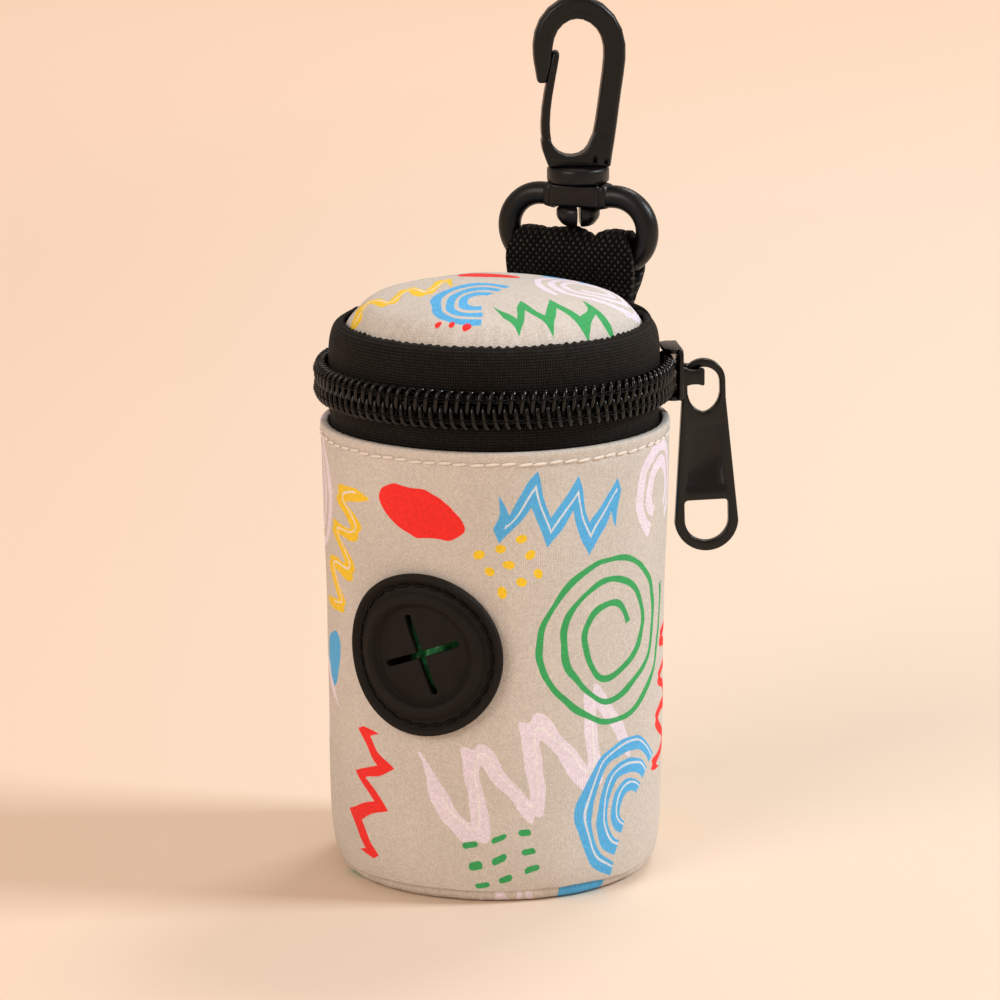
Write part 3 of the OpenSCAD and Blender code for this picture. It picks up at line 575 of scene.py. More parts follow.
def print_cloth(name, doodles, way):
    """Polyester cloth with pen doodles printed on it."""
    base = CLOTH_BASE
    made, t, shader = material(name, base, 0.82, Sheen_Weight=0.04, Sheen_Roughness=0.5, Specular_IOR_Level=0.3)
    placed = t.here(way)
    x, y, _ = t.split(placed)
    flat = t.join(x, y)
    wander = t.vector("SUBTRACT", t.noise(flat, 0.11, 1.0, output="Color"), (0.5, 0.5, 0.5))
    drawn = t.vector("ADD", t.vector("MULTIPLY", wander, (3.2, 3.2, 0.0)), flat)
    weave = t.use(WEAVE, Place=flat, Warp=0.27, Weft=0.3, Wander=0.12)
    colour = t.blend(weave["Over"], base, tuple(c * 0.93 for c in base[:3]) + (1.0,))
    for kind, mx, my, turn, paint, sizes in doodles:
        mask = doodle(t, drawn, kind, mx, my, turn, **sizes)
        colour = t.blend(mask * 0.96, colour, paint)
        if sizes.get("Pen", 0) > BROAD_PEN:
            line = doodle(t, drawn, kind, mx + 0.3, my + 0.35, turn, **{**sizes, "Pen": 0.3})
            colour = t.blend(line * mask * 0.75, colour, PRINT_WHITE)
    shade = t.use(MOTTLE, Place=placed, Broad=0.16, Fine=0.14)["Shade"]
    # The gaps between threads are darkened: painted shade. Thread tone and mottle vary at random.
    shade = (weave["Thread"] * 0.16 + 0.92) * shade * (weave["Gap"] * -0.22 + 1.0)
    finish(t, shader, t.scaled(colour, shade), weave["Height"] * -0.1 + 0.88, weave["Height"], 0.45, 0.00012)
    return made


def dark_weave(name, colour, warp, weft, pale, depth, way="Wall", dots=False):
    """Black woven tape or webbing with painted sheen on its thread tops and a little lint."""
    made, t, shader = material(name, colour, 0.75, Sheen_Weight=0.02, Sheen_Roughness=0.45,
                               Specular_IOR_Level=0.1)
    placed = t.here(way)
    x, y, z = t.split(placed)
    weave = t.use(WEAVE, Place=t.join(x, y if way == "Wall" else z), Warp=warp, Weft=weft, Wander=0.06)
    mottle = t.use(MOTTLE, Place=placed, Broad=0.5, Fine=0.3)["Shade"]
    lint = t.use(LINT, Place=placed, Size=0.13, Spacing=2.6)["Mask"]
    # Thread tops take the paler colour: painted sheen where light catches the black threads' crests.
    top = t.between(weave["Height"], 0.45, 1.0)
    if dots:
        top = top * weave["Over"]
    strand = weave["Thread"] * 0.7 + 0.6
    tone = t.blend(t.clamped(top * strand * mottle), colour, pale)
    tone = t.blend(lint * 0.5, tone, srgb(140, 128, 115))
    finish(t, shader, tone, strand * -0.12 + 0.85, weave["Height"], 0.7, depth)
    return made


def moulded(name, colour, rubbed, roughness, grain, streak, bump, lint, **sockets):
    """Moulded or painted skin with grain, rubbed spots and dust."""
    made, t, shader = material(name, colour, roughness, **sockets)
    placed = t.here("Flat")
    skin = t.use(SKIN, Place=placed, Grain=grain, Streak=streak)
    dust = t.use(LINT, Place=placed, Size=0.11, Spacing=2.2)["Mask"]
    tone = t.blend(dust * lint, t.blend(skin["Rub"] * 0.5, colour, rubbed), srgb(150, 138, 124))
    rough = skin["Streaks"] * 0.14 + (roughness - 0.07)
    rough = t.clamped(dust * 0.2 + (skin["Rub"] * 0.15 + rough))
    finish(t, shader, tone, rough, skin["Height"], bump, 0.0001)
    return made


def thread(name, colour, dark, roughness=0.6):
    """Sewing thread with a twist; the twist's grooves are darkened with painted shade."""
    made, t, shader = material(name, colour, roughness, Specular_IOR_Level=0.15)
    x, y, _ = t.split(t.here("Wall"))
    ply = t.maths("SINE", (x + y * 1.4) * 22.0) * 0.5 + 0.5
    # The grooves between the plies take the darker colour: painted shade.
    finish(t, shader, t.blend(ply, dark, colour), ply * -0.1 + (roughness + 0.05), ply, 0.5, 0.0001)
    return made


CLOTH_BASE = srgb(214, 206, 197)
WALL_CLOTH = print_cloth("printed_wall_cloth", WALL_DOODLES, "Wall")
LID_CLOTH = print_cloth("printed_lid_cloth", LID_DOODLES, "Flat")
BASE_CLOTH = print_cloth("printed_base_cloth", BASE_DOODLES, "Flat")
# The fourth colour of each dark weave is the painted sheen on its thread tops.
TAPE_WEAVE = dark_weave("zip_tape_weave", srgb(10, 8, 6), 0.36, 0.42, srgb(42, 37, 32), 0.00012)
PANEL_WEAVE = dark_weave("hinge_panel_weave", srgb(12, 10, 8), 0.3, 0.3, srgb(40, 36, 32), 0.0001)
WEBBING = dark_weave("webbing_weave", srgb(7, 6, 5), 0.52, 0.6, srgb(66, 61, 56), 0.0005, "Flat", dots=True)
LINING = dark_weave("lining_weave", srgb(22, 22, 24), 0.25, 0.25, srgb(48, 47, 48), 0.00006)
COIL_NYLON = moulded("coil_nylon", srgb(6, 5, 4), srgb(20, 18, 16), 0.16, 2.0, 0.2, 0.06, 0.1,
                     Specular_IOR_Level=0.34)
RUBBER = moulded("outlet_rubber", srgb(24, 20, 16), srgb(46, 41, 35), 0.66, 4.0, 0.2, 0.25, 0.5,
                 Specular_IOR_Level=0.18)
PLASTIC = moulded("hook_plastic", srgb(8, 6, 6), srgb(34, 30, 29), 0.33, 3.5, 0.5, 0.28, 0.3,
                  Specular_IOR_Level=0.32)
LACQUER = moulded("slider_lacquer", srgb(6, 4, 3), srgb(44, 34, 26), 0.24, 2.5, 0.2, 0.1, 0.25,
                  Specular_IOR_Level=0.36)
# The second colour of each thread is the painted shade in its twist's grooves.
CREAM_THREAD = thread("cream_thread", srgb(255, 250, 243), srgb(232, 218, 202))
BLACK_THREAD = thread("black_thread", srgb(12, 10, 8), srgb(3, 3, 2), 0.5)
FOAM = moulded("padding_foam", srgb(226, 224, 216), srgb(200, 196, 184), 0.95, 6.0, 0.0, 0.6, 0.1)
BOARD = moulded("grey_board", srgb(176, 170, 156), srgb(150, 142, 128), 0.9, 5.0, 0.0, 0.4, 0.2)
CARDBOARD = moulded("cardboard_core", srgb(178, 148, 108), srgb(150, 120, 86), 0.88, 5.0, 0.6, 0.4, 0.1)
FILM = moulded("bag_film", srgb(58, 158, 96), srgb(120, 190, 140), 0.36, 1.2, 1.6, 0.5, 0.0)


# ---------------------------------------------------------------- making pieces


def place(name, bm, paint, body, stands_for=(), slot=None, smooth=True, closed=True):
    """Turns a piece drawn in millimetres into an object in metres that rides on its body."""
    if closed:
        bmesh.ops.recalc_face_normals(bm, faces=bm.faces)
    bmesh.ops.scale(bm, vec=(MM, MM, MM), verts=bm.verts)
    mesh = bpy.data.meshes.new(name)
    bm.to_mesh(mesh)
    bm.free()
    for face in mesh.polygons:
        face.use_smooth = smooth
    mesh.materials.append(paint)
    piece = bpy.data.objects.new(name, mesh)
    bpy.context.collection.objects.link(piece)
    if body:
        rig.ride(piece, body)
    if stands_for:
        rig.replaces(piece, *stands_for)
    if slot:
        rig.slot(piece, slot)
    return piece


def thicken(piece, thickness, offset=-1.0):
    """Gives a sheet its thickness, in millimetres, towards its inner side."""
    solid = piece.modifiers.new("thickness", "SOLIDIFY")
    solid.thickness = thickness * MM
    solid.offset = offset
    return piece


def translation(x, y, z):
    return Matrix.Translation((x, y, z))


def rotation(degrees, axis):
    return Matrix.Rotation(math.radians(degrees), 4, axis)


def moved(bm, matrix):
    bmesh.ops.transform(bm, matrix=matrix, verts=bm.verts)
    return bm


def line_of(bm, points, closed=False):
    """A line of edges through points, or a loop."""
    verts = [bm.verts.new(p) for p in points]
    return [bm.edges.new(pair) for pair in zip(verts, verts[1:] + verts[:1] * closed)]


def ends_of(edges):
    return list(dict.fromkeys(v for e in edges for v in e.verts))


def revolve(line, steps, start=0.0, sweep=360.0, closed=False):
    """Spins a line of (radius, height) round the pouch's axis, from one angle by a sweep."""
    bm = bmesh.new()
    edges = line_of(bm, [round_at(start, r, z) for r, z in line], closed)
    bmesh.ops.spin(bm, geom=ends_of(edges) + edges, cent=(0, 0, 0), axis=(0, 0, 1), dvec=(0, 0, 0),
                   angle=math.radians(sweep), steps=steps, use_merge=sweep == 360.0)
    bmesh.ops.remove_doubles(bm, verts=bm.verts, dist=0.0005)
    return bm


def face_out(bm):
    """Turns an open sheet's faces away from the pouch's axis."""
    bmesh.ops.recalc_face_normals(bm, faces=bm.faces)
    bm.normal_update()
    if sum(f.normal.xy.dot(f.calc_center_median().xy) for f in bm.faces) < 0:
        bmesh.ops.reverse_faces(bm, faces=bm.faces)


def spaced(low, high, count):
    return [low + (high - low) * i / (count - 1) for i in range(count)]


def push_round(bm, push):
    """Moves each vertex along the pouch's radius by push(angle, height, radius) millimetres."""
    for v in bm.verts:
        r = v.co.xy.length
        if r > 1e-6:
            v.co.xy *= (r + push(angle_of(v.co), v.co.z, r)) / r


def hump(value, middle, width):
    return math.exp(-(((value - middle) / width) ** 2))


def waver(angle, z, grain, lift, seed=0.0):
    """A smooth noise round the pouch, from -1 to 1, the same on every run."""
    a = math.radians(angle)
    return noise.noise(Vector((math.sin(a) * grain, math.cos(a) * grain, z * lift + seed)))


def tube(bm, points, radius, sides=8, closed=False):
    """Adds a round bar that follows points, drawn as a bevelled curve."""
    curve = bpy.data.curves.new("bar", "CURVE")
    curve.dimensions = "3D"
    curve.bevel_depth = radius
    curve.bevel_resolution = max(0, sides // 2 - 2)
    curve.use_fill_caps = not closed
    spline = curve.splines.new("POLY")
    spline.points.add(len(points) - 1)
    for at, p in zip(spline.points, points):
        at.co = (*p, 1)
    spline.use_cyclic_u = closed
    bar = bpy.data.objects.new("bar", curve)
    mesh = bpy.data.meshes.new_from_object(bar)
    bm.from_mesh(mesh)
    bpy.data.objects.remove(bar)
    bpy.data.curves.remove(curve)
    bpy.data.meshes.remove(mesh)
    return bm


def stitch(bm, a, b, out, radius):
    """One stitch of thread from a to b, arched along out."""
    along = (b - a).normalized()
    out = (out - along * out.dot(along)).normalized()
    frame_of = Matrix((along, along.cross(out), out)).transposed().to_4x4()
    size = Matrix.Diagonal(((b - a).length / 2 + radius, radius, radius, 1))
    bmesh.ops.create_uvsphere(bm, u_segments=7, v_segments=6, radius=1.0,
                              matrix=translation(*(a + b) / 2) @ frame_of @ size @ rotation(90, "Y"))


def slab(corners, thickness, rounding, segments, edge, edge_segments):
    """A plate drawn flat on XY from its corners, centred on z 0, with rounded corners and edges."""
    bm = bmesh.new()
    verts = [bm.verts.new((x, y, -thickness / 2)) for x, y in corners]
    bm.faces.new(verts)
    if rounding:
        round_corners(bm, verts, rounding, segments)
    return extrude_plate(bm, thickness, edge, edge_segments)


def round_corners(bm, verts, width, segments):
    bmesh.ops.bevel(bm, geom=verts, offset=width, segments=segments, profile=0.5,
                    affect="VERTICES", material=-1)


def extrude_plate(bm, thickness, edge=0.0, edge_segments=2):
    """Raises every flat face in bm to a plate and rounds its sharp edges."""
    made = bmesh.ops.extrude_face_region(bm, geom=list(bm.faces), use_keep_orig=True)
    raised = [v for v in made["geom"] if isinstance(v, bmesh.types.BMVert)]
    bmesh.ops.translate(bm, verts=raised, vec=(0, 0, thickness))
    bmesh.ops.recalc_face_normals(bm, faces=bm.faces)
    if edge:
        round_edges(bm, edge, edge_segments)
    return bm


def face_up(bm):
    """Turns the faces of a flat drawing up."""
    for f in bm.faces:
        if f.normal.z < 0:
            f.normal_flip()


def round_edges(bm, width, segments=2, sharper_than=40.0):
    """Rounds every edge that turns by more than an angle."""
    sharp = [e for e in bm.edges
             if len(e.link_faces) == 2 and e.calc_face_angle(0.0) > math.radians(sharper_than)]
    bmesh.ops.bevel(bm, geom=sharp, offset=width, offset_type="OFFSET", segments=segments,
                    profile=0.5, affect="EDGES", clamp_overlap=True, material=-1)


def drawn_on(bm, edges):
    """Draws edges out to new ones: the new vertices and edges."""
    made = bmesh.ops.extrude_edge_only(bm, edges=edges)["geom"]
    fresh = [g for g in made if isinstance(g, bmesh.types.BMVert)]
    within = set(fresh)
    return fresh, [g for g in made if isinstance(g, bmesh.types.BMEdge) and within.issuperset(g.verts)]


def arc(cx, cy, radius, start, end, count):
    return [(cx + radius * math.cos(math.radians(a)), cy + radius * math.sin(math.radians(a)))
            for a in spaced(start, end, count)]


def merged(*parts):
    """One bmesh from several."""
    whole = bmesh.new()
    for part in parts:
        mesh = bpy.data.meshes.new("part")
        part.to_mesh(mesh)
        whole.from_mesh(mesh)
        bpy.data.meshes.remove(mesh)
        part.free()
    return whole


# ---------------------------------------------------------------- pouch


HEM_STITCH_Z = 65.5
HEM_STITCHES = 70


def wall_shift(angle, z, _=0):
    """Where the padded wall swells, dents and puckers, in millimetres."""
    swell = 0.3 * waver(angle, z, 1.3, 0.035, 2.0) + 0.1 * waver(angle, z, 3.5, 0.1, 9.0)
    foot = math.exp(-max(z - 1.6, 0) / 2.6)
    swell += foot * (0.22 * waver(angle, z, 9.0, 0.15, 4.0) - 0.1)
    swell -= 0.2 * hump(z, HEM_STITCH_Z, 0.6)
    swell += 0.07 * hump(z, 66.7, 0.5) * math.cos(math.radians(angle) * HEM_STITCHES)
    swell += 0.16 * hump(z, 63.6, 1.6) * waver(angle, z, 7.0, 0.1, 6.0)
    reach = math.hypot(math.radians(angle - OUTLET_TURN) * PRINT_R, z - OUTLET_Z)
    return swell - 0.12 * hump(reach, 12.4, 1.0) - 0.3 * hump(abs(angle), 180.0, 0.8)


def make_wall():
    """Printed cloth tube with its hem turned in and the outlet's hole."""
    outside = [(wall_r(z), z) for z in [2.05, 2.2, 2.5, 2.95, 3.6, 4.35, 5.2, 6.4, 7.8, 9.5]]
    outside += [(wall_r(z), z) for z in spaced(11.0, 63.0, 44)]
    outside += [(wall_r(z), z) for z in (63.8, 64.4, 64.9, 65.2, 65.5, 65.8, 66.2, 66.6)]
    top = wall_r(HEM_Z)
    hem = [(top - 0.02, 66.95), (top - 0.16, 67.12), (top - 0.42, 67.2), (top - 0.78, 67.2),
           (top - 1.04, 67.12), (top - 1.17, 66.95)]
    inside = [(wall_r(z) - 1.2, z) for z in (66.5, 65.5, 64.2, 62.8)]
    bm = revolve(outside + hem + inside, 360)
    moved(bm, rotation(180, "Z"))
    cut_hole(bm, OUTLET_HOLE_R + 0.1)
    for v in bm.verts:
        if outlet_reach(v.co) < 9.0 and v.is_boundary:
            x, z = v.co.x, v.co.z - OUTLET_Z
            k = (OUTLET_HOLE_R + 0.12) / math.hypot(x, z)
            v.co.x, v.co.z = x * k, OUTLET_Z + z * k
            v.co.y = -math.sqrt(wall_r(v.co.z) ** 2 - v.co.x ** 2)
    to_outlet(bm)
    for v in bm.verts:
        if v.co.z < 3.0:
            v.co.z += 0.32 * waver(angle_of(v.co), 0, 2.6, 1, 12.0)
    push_round(bm, wall_shift)
    face_out(bm)
    wall = place("wall_cloth", bm, WALL_CLOTH, "pouch", ["side_fabric"], "print_cloth", closed=False)
    thicken(wall, 0.55)
    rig.sheet(wall, flat=(0.158, 0.0705), held="stretched", rests_on=["base_cloth"])


def outlet_reach(point):
    """Distance of a point on the wall's very front from the hole's middle line."""
    return math.hypot(point.x, point.z - OUTLET_Z) if point.y < 0 else math.inf


def cut_hole(bm, radius):
    """Opens the outlet's hole at the very front of a wall."""
    hole = [f for f in bm.faces if outlet_reach(f.calc_center_median()) < radius]
    bmesh.ops.delete(bm, geom=hole, context="FACES")


def to_outlet(bm):
    """Turns a wall whose hole was cut at the very front so that the hole meets the outlet."""
    moved(bm, rotation(OUTLET_TURN, "Z"))


def make_hem_stitches():
    """Cream topstitch under the hem's edge."""
    bm = bmesh.new()
    step = 360 / HEM_STITCHES
    half = step * 0.345
    for i in range(HEM_STITCHES):
        mid = step * (i + 0.06 * math.sin(i * 2.4))
        level = HEM_STITCH_Z + 0.09 * math.sin(i * 1.7)
        ends = [round_at(a, wall_r(HEM_STITCH_Z) + wall_shift(a, HEM_STITCH_Z) + 0.2, level + d)
                for a, d in ((mid - half, -0.07), (mid + half, 0.07))]
        stitch(bm, *ends, round_at(mid, 1, 0), 0.24)
    place("hem_stitches", bm, CREAM_THREAD, "pouch", slot="print_cloth")


def make_base():
    """Base cloth with its soft rolled edge."""
    roll = [(0, 0.3), (6, 0.22), (12, 0.14), (17, 0.06), (20.5, 0.02)]
    roll += [(22.3 - 1.55 + 1.55 * math.sin(math.radians(a)), 1.7 - 1.66 * math.cos(math.radians(a)))
             for a in range(10, 91, 10)]
    roll = [(r + 0.95 * (r / 22.3) ** 6, z) for r, z in roll]
    roll += [(23.16, 2.2), (23.14, 3.2), (23.2, 4.4)]
    bm = revolve(roll, 240)
    for v in bm.verts:
        r = v.co.xy.length
        v.co.z = max(v.co.z + 0.14 * hump(r, 22.0, 2.0) * waver(angle_of(v.co), r * 0.2, 8.0, 1.0, 3.0), 0.0)
    push_round(bm, lambda angle, z, r: 0.17 * hump(z, 1.0, 0.9) * waver(angle, z, 10.0, 0.3, 5.0)
               if r > 20 else 0.0)
    face_out(bm)
    base = place("base_cloth", bm, BASE_CLOTH, "pouch", ["base_fabric"], "print_cloth", closed=False)
    thicken(base, 0.5)
    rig.sheet(base, flat=(0.054, 0.054), area=0.0021, held="stretched", rests_on=["base_board"])


def make_linings():
    """Side padding, linings and the taped inside seam."""
    foam = revolve([(wall_r(z) - 0.72, z) for z in spaced(5.3, 59.8, 40)]
                   + [(wall_r(z) - 1.86, z) for z in spaced(59.8, 5.3, 40)], 144)
    close_ring(foam)
    cut_hole(foam, OUTLET_HOLE_R + 0.9)
    close_ring(foam)
    to_outlet(foam)
    foam = place("wall_padding", foam, FOAM, "pouch", ["side_foam"], "foam")
    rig.padded(foam, fill=0.9)
    bm = revolve([(wall_r(z) - 2.05, z) for z in spaced(3.3, 67.0, 40)], 144)
    push_round(bm, lambda angle, z, r: -0.09 - 0.09 * waver(angle, z, 6.0, 0.05, 1.0))
    cut_hole(bm, OUTLET_HOLE_R + 0.2)
    to_outlet(bm)
    face_out(bm)
    wall = place("wall_lining", bm, LINING, "pouch", ["side_lining"], "lining", closed=False)
    thicken(wall, 0.25)
    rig.sheet(wall, flat=(0.143, 0.064), held="stretched", rests_on=["wall_padding"])
    disc = revolve([(0.01, 2.15), (6, 2.17), (12, 2.13), (17, 2.16), (21, 2.14), (22.4, 2.2)], 96)
    for v in disc.verts:
        v.co.z += 0.05 * noise.noise(v.co * 0.3)
    bmesh.ops.recalc_face_normals(disc, faces=disc.faces)
    floor = place("base_lining_cloth", disc, LINING, "pouch", ["base_lining"], "lining", closed=False)
    thicken(floor, 0.2)
    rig.sheet(floor, flat=(0.045, 0.045), area=0.00158, held="laid", rests_on=["base_board"])
    r = wall_r(3.2) - 2.95
    bind = [(r - 0.3, 2.5), (r - 0.33, 4.2), (r - 0.3, 6.2)]
    bind += [(r + 0.3 * math.cos(math.radians(a)), 6.5 + 0.4 * math.sin(math.radians(a)))
             for a in (150, 120, 90, 60, 30)]
    bind += [(r + 0.3, 6.2), (r + 0.33, 4.2), (r + 0.3, 2.5)]
    bm = revolve(bind, 144)
    close_ring(bm)
    push_round(bm, lambda angle, z, r: 0.05 * math.cos(math.radians(angle) * 44))
    place("seam_tape", bm, PANEL_WEAVE, "pouch", ["seam_binding"], "lining")


def close_ring(bm):
    """Bridges the two open rims of a revolved wall."""
    rims = [e for e in bm.edges if e.is_boundary]
    if rims:
        bmesh.ops.bridge_loops(bm, edges=rims)


# ---------------------------------------------------------------- zip


def make_tapes():
    """Woven zip tapes: one upright on the pouch, one leaning in to the lid's seam."""
    bm = revolve([(TAPE_R, z) for z in spaced(60.6, 72.55, 16)], 264, -TAPE_END, 2 * TAPE_END)
    push_round(bm, lambda angle, z, r: 0.07 * waver(angle, z, 9.0, 0.12, 3.0) * (z > 67)
               - 0.18 * hump(z, 67.6, 0.9))
    face_out(bm)
    lower = place("lower_tape_weave", bm, TAPE_WEAVE, "pouch", ["lower_tape"], "tape", closed=False)
    thicken(lower, 0.45)
    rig.sheet(lower, flat=(0.112, 0.012), held="stretched", rests_on=["wall_cloth"])
    high = [(TAPE_R, z) for z in spaced(74.05, 76.9, 5)]
    high += [(24.19, 77.6), (24.15, 78.2), (24.08, 78.8), (23.98, 79.4), (23.86, 79.9), (23.7, 80.4),
             (23.5, 80.8), (23.24, 81.15), (22.92, 81.42), (22.58, 81.6), (22.25, 81.72), (21.98, 81.82)]
    bm = revolve(high, 528, -TAPE_END, 2 * TAPE_END)
    for v in bm.verts:
        angle = angle_of(v.co)
        selvedge = max(0.0, (v.co.z - 81.45) / 0.35)
        v.co.z += selvedge * (0.1 * math.cos(math.radians(angle) * 110) + 0.2 * waver(angle, 0, 7.0, 1, 8.0)
                              + 0.16 * waver(angle, 0, 40.0, 1, 2.0))
    push_round(bm, lambda angle, z, r: 0.12 * waver(angle, z, 6.0, 0.2, 7.0) * min(1, max(0, (z - 76.6) / 3)))
    face_out(bm)
    upper = place("upper_tape_weave", bm, TAPE_WEAVE, "lid", ["upper_tape"], "tape", closed=False)
    thicken(upper, 0.42)
    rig.sheet(upper, flat=(0.112, 0.0101), area=0.00093, held="stretched", rests_on=["lid_cloth"])


COIL_PITCH = 1.5
COIL_MID_R = 25.3
COIL_STEP = math.degrees(COIL_PITCH / COIL_MID_R)
COIL_START = -125.0
WIRE_R = 0.34


def curl_point(side, at):
    """A point of a coil row's wire: at counts curls along the row, side is 1 above and -1 below."""
    u = at % 1.0
    wave, lift = math.sin(TURN * u), math.cos(TURN * u)
    angle = COIL_START + (math.floor(at) + u - wave / TURN + (side + 1) / 4) * COIL_STEP
    n = COIL_MID_R + (1.075 - WIRE_R) * math.copysign(abs(wave) ** 0.85, wave)
    v = ZIP_Z + side * (1.05 - 1.55 * math.copysign(abs(lift) ** 0.75, lift))
    return round_at(angle, n, v)


def make_coils():
    """Two unbroken nylon wires wound in curls, and the thread that sews them to the tapes."""
    curls, rings = 72, 14
    for side, name, body in ((-1, "lower", "pouch"), (1, "upper", "lid")):
        wire = [curl_point(side, i / rings) for i in range(curls * rings)]
        bm = tube(bmesh.new(), wire, WIRE_R)
        coil = place(f"{name}_coil_row", bm, COIL_NYLON, body, [f"{name}_coil"], "coil")
        bm = bmesh.new()
        for v, wave in ((1.3, 0.0), (1.62, 0.5)):
            line = []
            for i in range(curls * 6):
                rise = 26.16 + 0.22 * math.cos(TURN * (i / 6 + wave))
                line.append(round_at(COIL_START + COIL_STEP * (i / 6 + 0.25), rise,
                                     ZIP_Z + side * v + 0.05 * math.sin(i * 0.9)))
            tube(bm, line, 0.11, 6)
        place(f"{name}_coil_thread", bm, BLACK_THREAD, body, slot="coil")


def make_hinge_panel():
    """Cloth panel behind the zip, which bends as the lid swings back."""
    line = [(24.86, z) for z in spaced(67.3, 76.6, 26)]
    line += [(24.85, 77.2), (24.8, 77.8), (24.74, 78.4), (24.66, 79.0), (24.54, 79.6), (24.36, 80.2),
             (24.1, 80.8), (23.74, 81.35), (23.3, 81.8), (22.8, 82.14), (22.25, 82.36), (21.8, 82.46)]
    bm = revolve(line, 150, 128.3, 103.4)
    push_round(bm, lambda angle, z, r: 0.08 * waver(angle, z, 5.0, 0.3, 2.0) - 0.22 * hump(z, ZIP_Z, 0.7))
    face_out(bm)
    panel = place("hinge_panel", bm, PANEL_WEAVE, None, ["hinge_lower", "hinge_upper"], "tape", closed=False)
    thicken(panel, 0.5)
    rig.blend(panel, "pouch", "lid", start=(0, 0.0252, 0.0722), end=(0, 0.0252, 0.0744))
    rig.sheet(panel, flat=(0.0452, 0.0168), area=0.00074, held="stretched",
             rests_on=["lower_tape_weave", "upper_tape_weave"])
    for name, body, z in (("lower", "pouch", 68.3), ("upper", "lid", 76.3)):
        bm = bmesh.new()
        for mid in spaced(131.5, 228.5, 20):
            ends = [round_at(a, 24.91 + 0.08 * waver(mid, z, 5.0, 0.3, 2.0), z) for a in (mid - 1.7, mid + 1.7)]
            stitch(bm, *ends, round_at(mid, 1, 0), 0.14)
        place(f"{name}_panel_stitches", bm, BLACK_THREAD, body, slot="tape")
    bm = bmesh.new()
    for end in (-1, 1):
        for z in spaced(70.9, 72.2, 4):
            stitch(bm, round_at(end * 121.8, 26.0, z), round_at(end * 124.4, 26.0, z + 0.1),
                   round_at(end * 123, 1, 0), 0.3)
    place("zip_end_stops", bm, BLACK_THREAD, "pouch", ["zip_stops"], "stops")


# ---------------------------------------------------------------- lid


def in_order(bm):
    """Puts edges and faces in a fixed order, so that the cloth comes out the same on every run."""
    for elements, middle in ((bm.edges, lambda e: e.verts[0].co + e.verts[1].co),
                             (bm.faces, lambda f: f.calc_center_median())):
        ranked = sorted(elements, key=lambda g: tuple(round(c, 2) for c in middle(g)))
        ranks = {g: i for i, g in enumerate(ranked)}
        elements.sort(key=lambda g: ranks[g])
        elements.index_update()


def puff(bm, held, pressure, cap, grow=0.02, frames=20):
    """Runs cloth under air pressure on a closed shape, with held(vertex) pinned, and keeps the result."""
    in_order(bm)
    start = [v.co.copy() for v in bm.verts]
    mesh = bpy.data.meshes.new("air_filled")
    bm.to_mesh(mesh)
    mesh.transform(Matrix.Scale(0.1, 4))
    body = bpy.data.objects.new("air_filled", mesh)
    bpy.context.collection.objects.link(body)
    pins = body.vertex_groups.new(name="pins")
    pins.add([i for i, co in enumerate(start) if held(co)], 1.0, "REPLACE")
    cloth = body.modifiers.new("cloth", "CLOTH")
    cloth.settings.vertex_group_mass = "pins"
    cloth.settings.use_pressure = True
    cloth.settings.uniform_pressure_force = pressure
    cloth.settings.shrink_min = -grow
    cloth.settings.tension_stiffness = cloth.settings.compression_stiffness = 25
    cloth.settings.bending_stiffness = 2.0
    cloth.settings.quality = 6
    cloth.settings.effector_weights.gravity = 0
    cloth.collision_settings.use_self_collision = False
    cloth.point_cache.frame_start, cloth.point_cache.frame_end = 1, frames
    for at in range(1, frames + 1):
        bpy.context.scene.frame_set(at)
    done = body.evaluated_get(bpy.context.evaluated_depsgraph_get()).to_mesh()
    for v, was, now in zip(bm.verts, start, done.vertices):
        swell = now.co * 10 - was
        v.co = was + swell * min(1.0, cap / max(swell.length, 1e-6))
    bpy.context.scene.frame_set(1)
    bpy.data.objects.remove(body)
    bpy.data.meshes.remove(mesh)


def dome_line(inset, lower, degrees):
    """The dome's outline, set in from the lid's radius and lower than its top."""
    top, full = DOME_TOP - LID_SEAM_Z - lower, 2 / DOME_FULLNESS
    return [((LID_R - inset) * math.cos(math.radians(a)) ** full,
             LID_SEAM_Z + top * math.sin(math.radians(a)) ** full) for a in degrees]


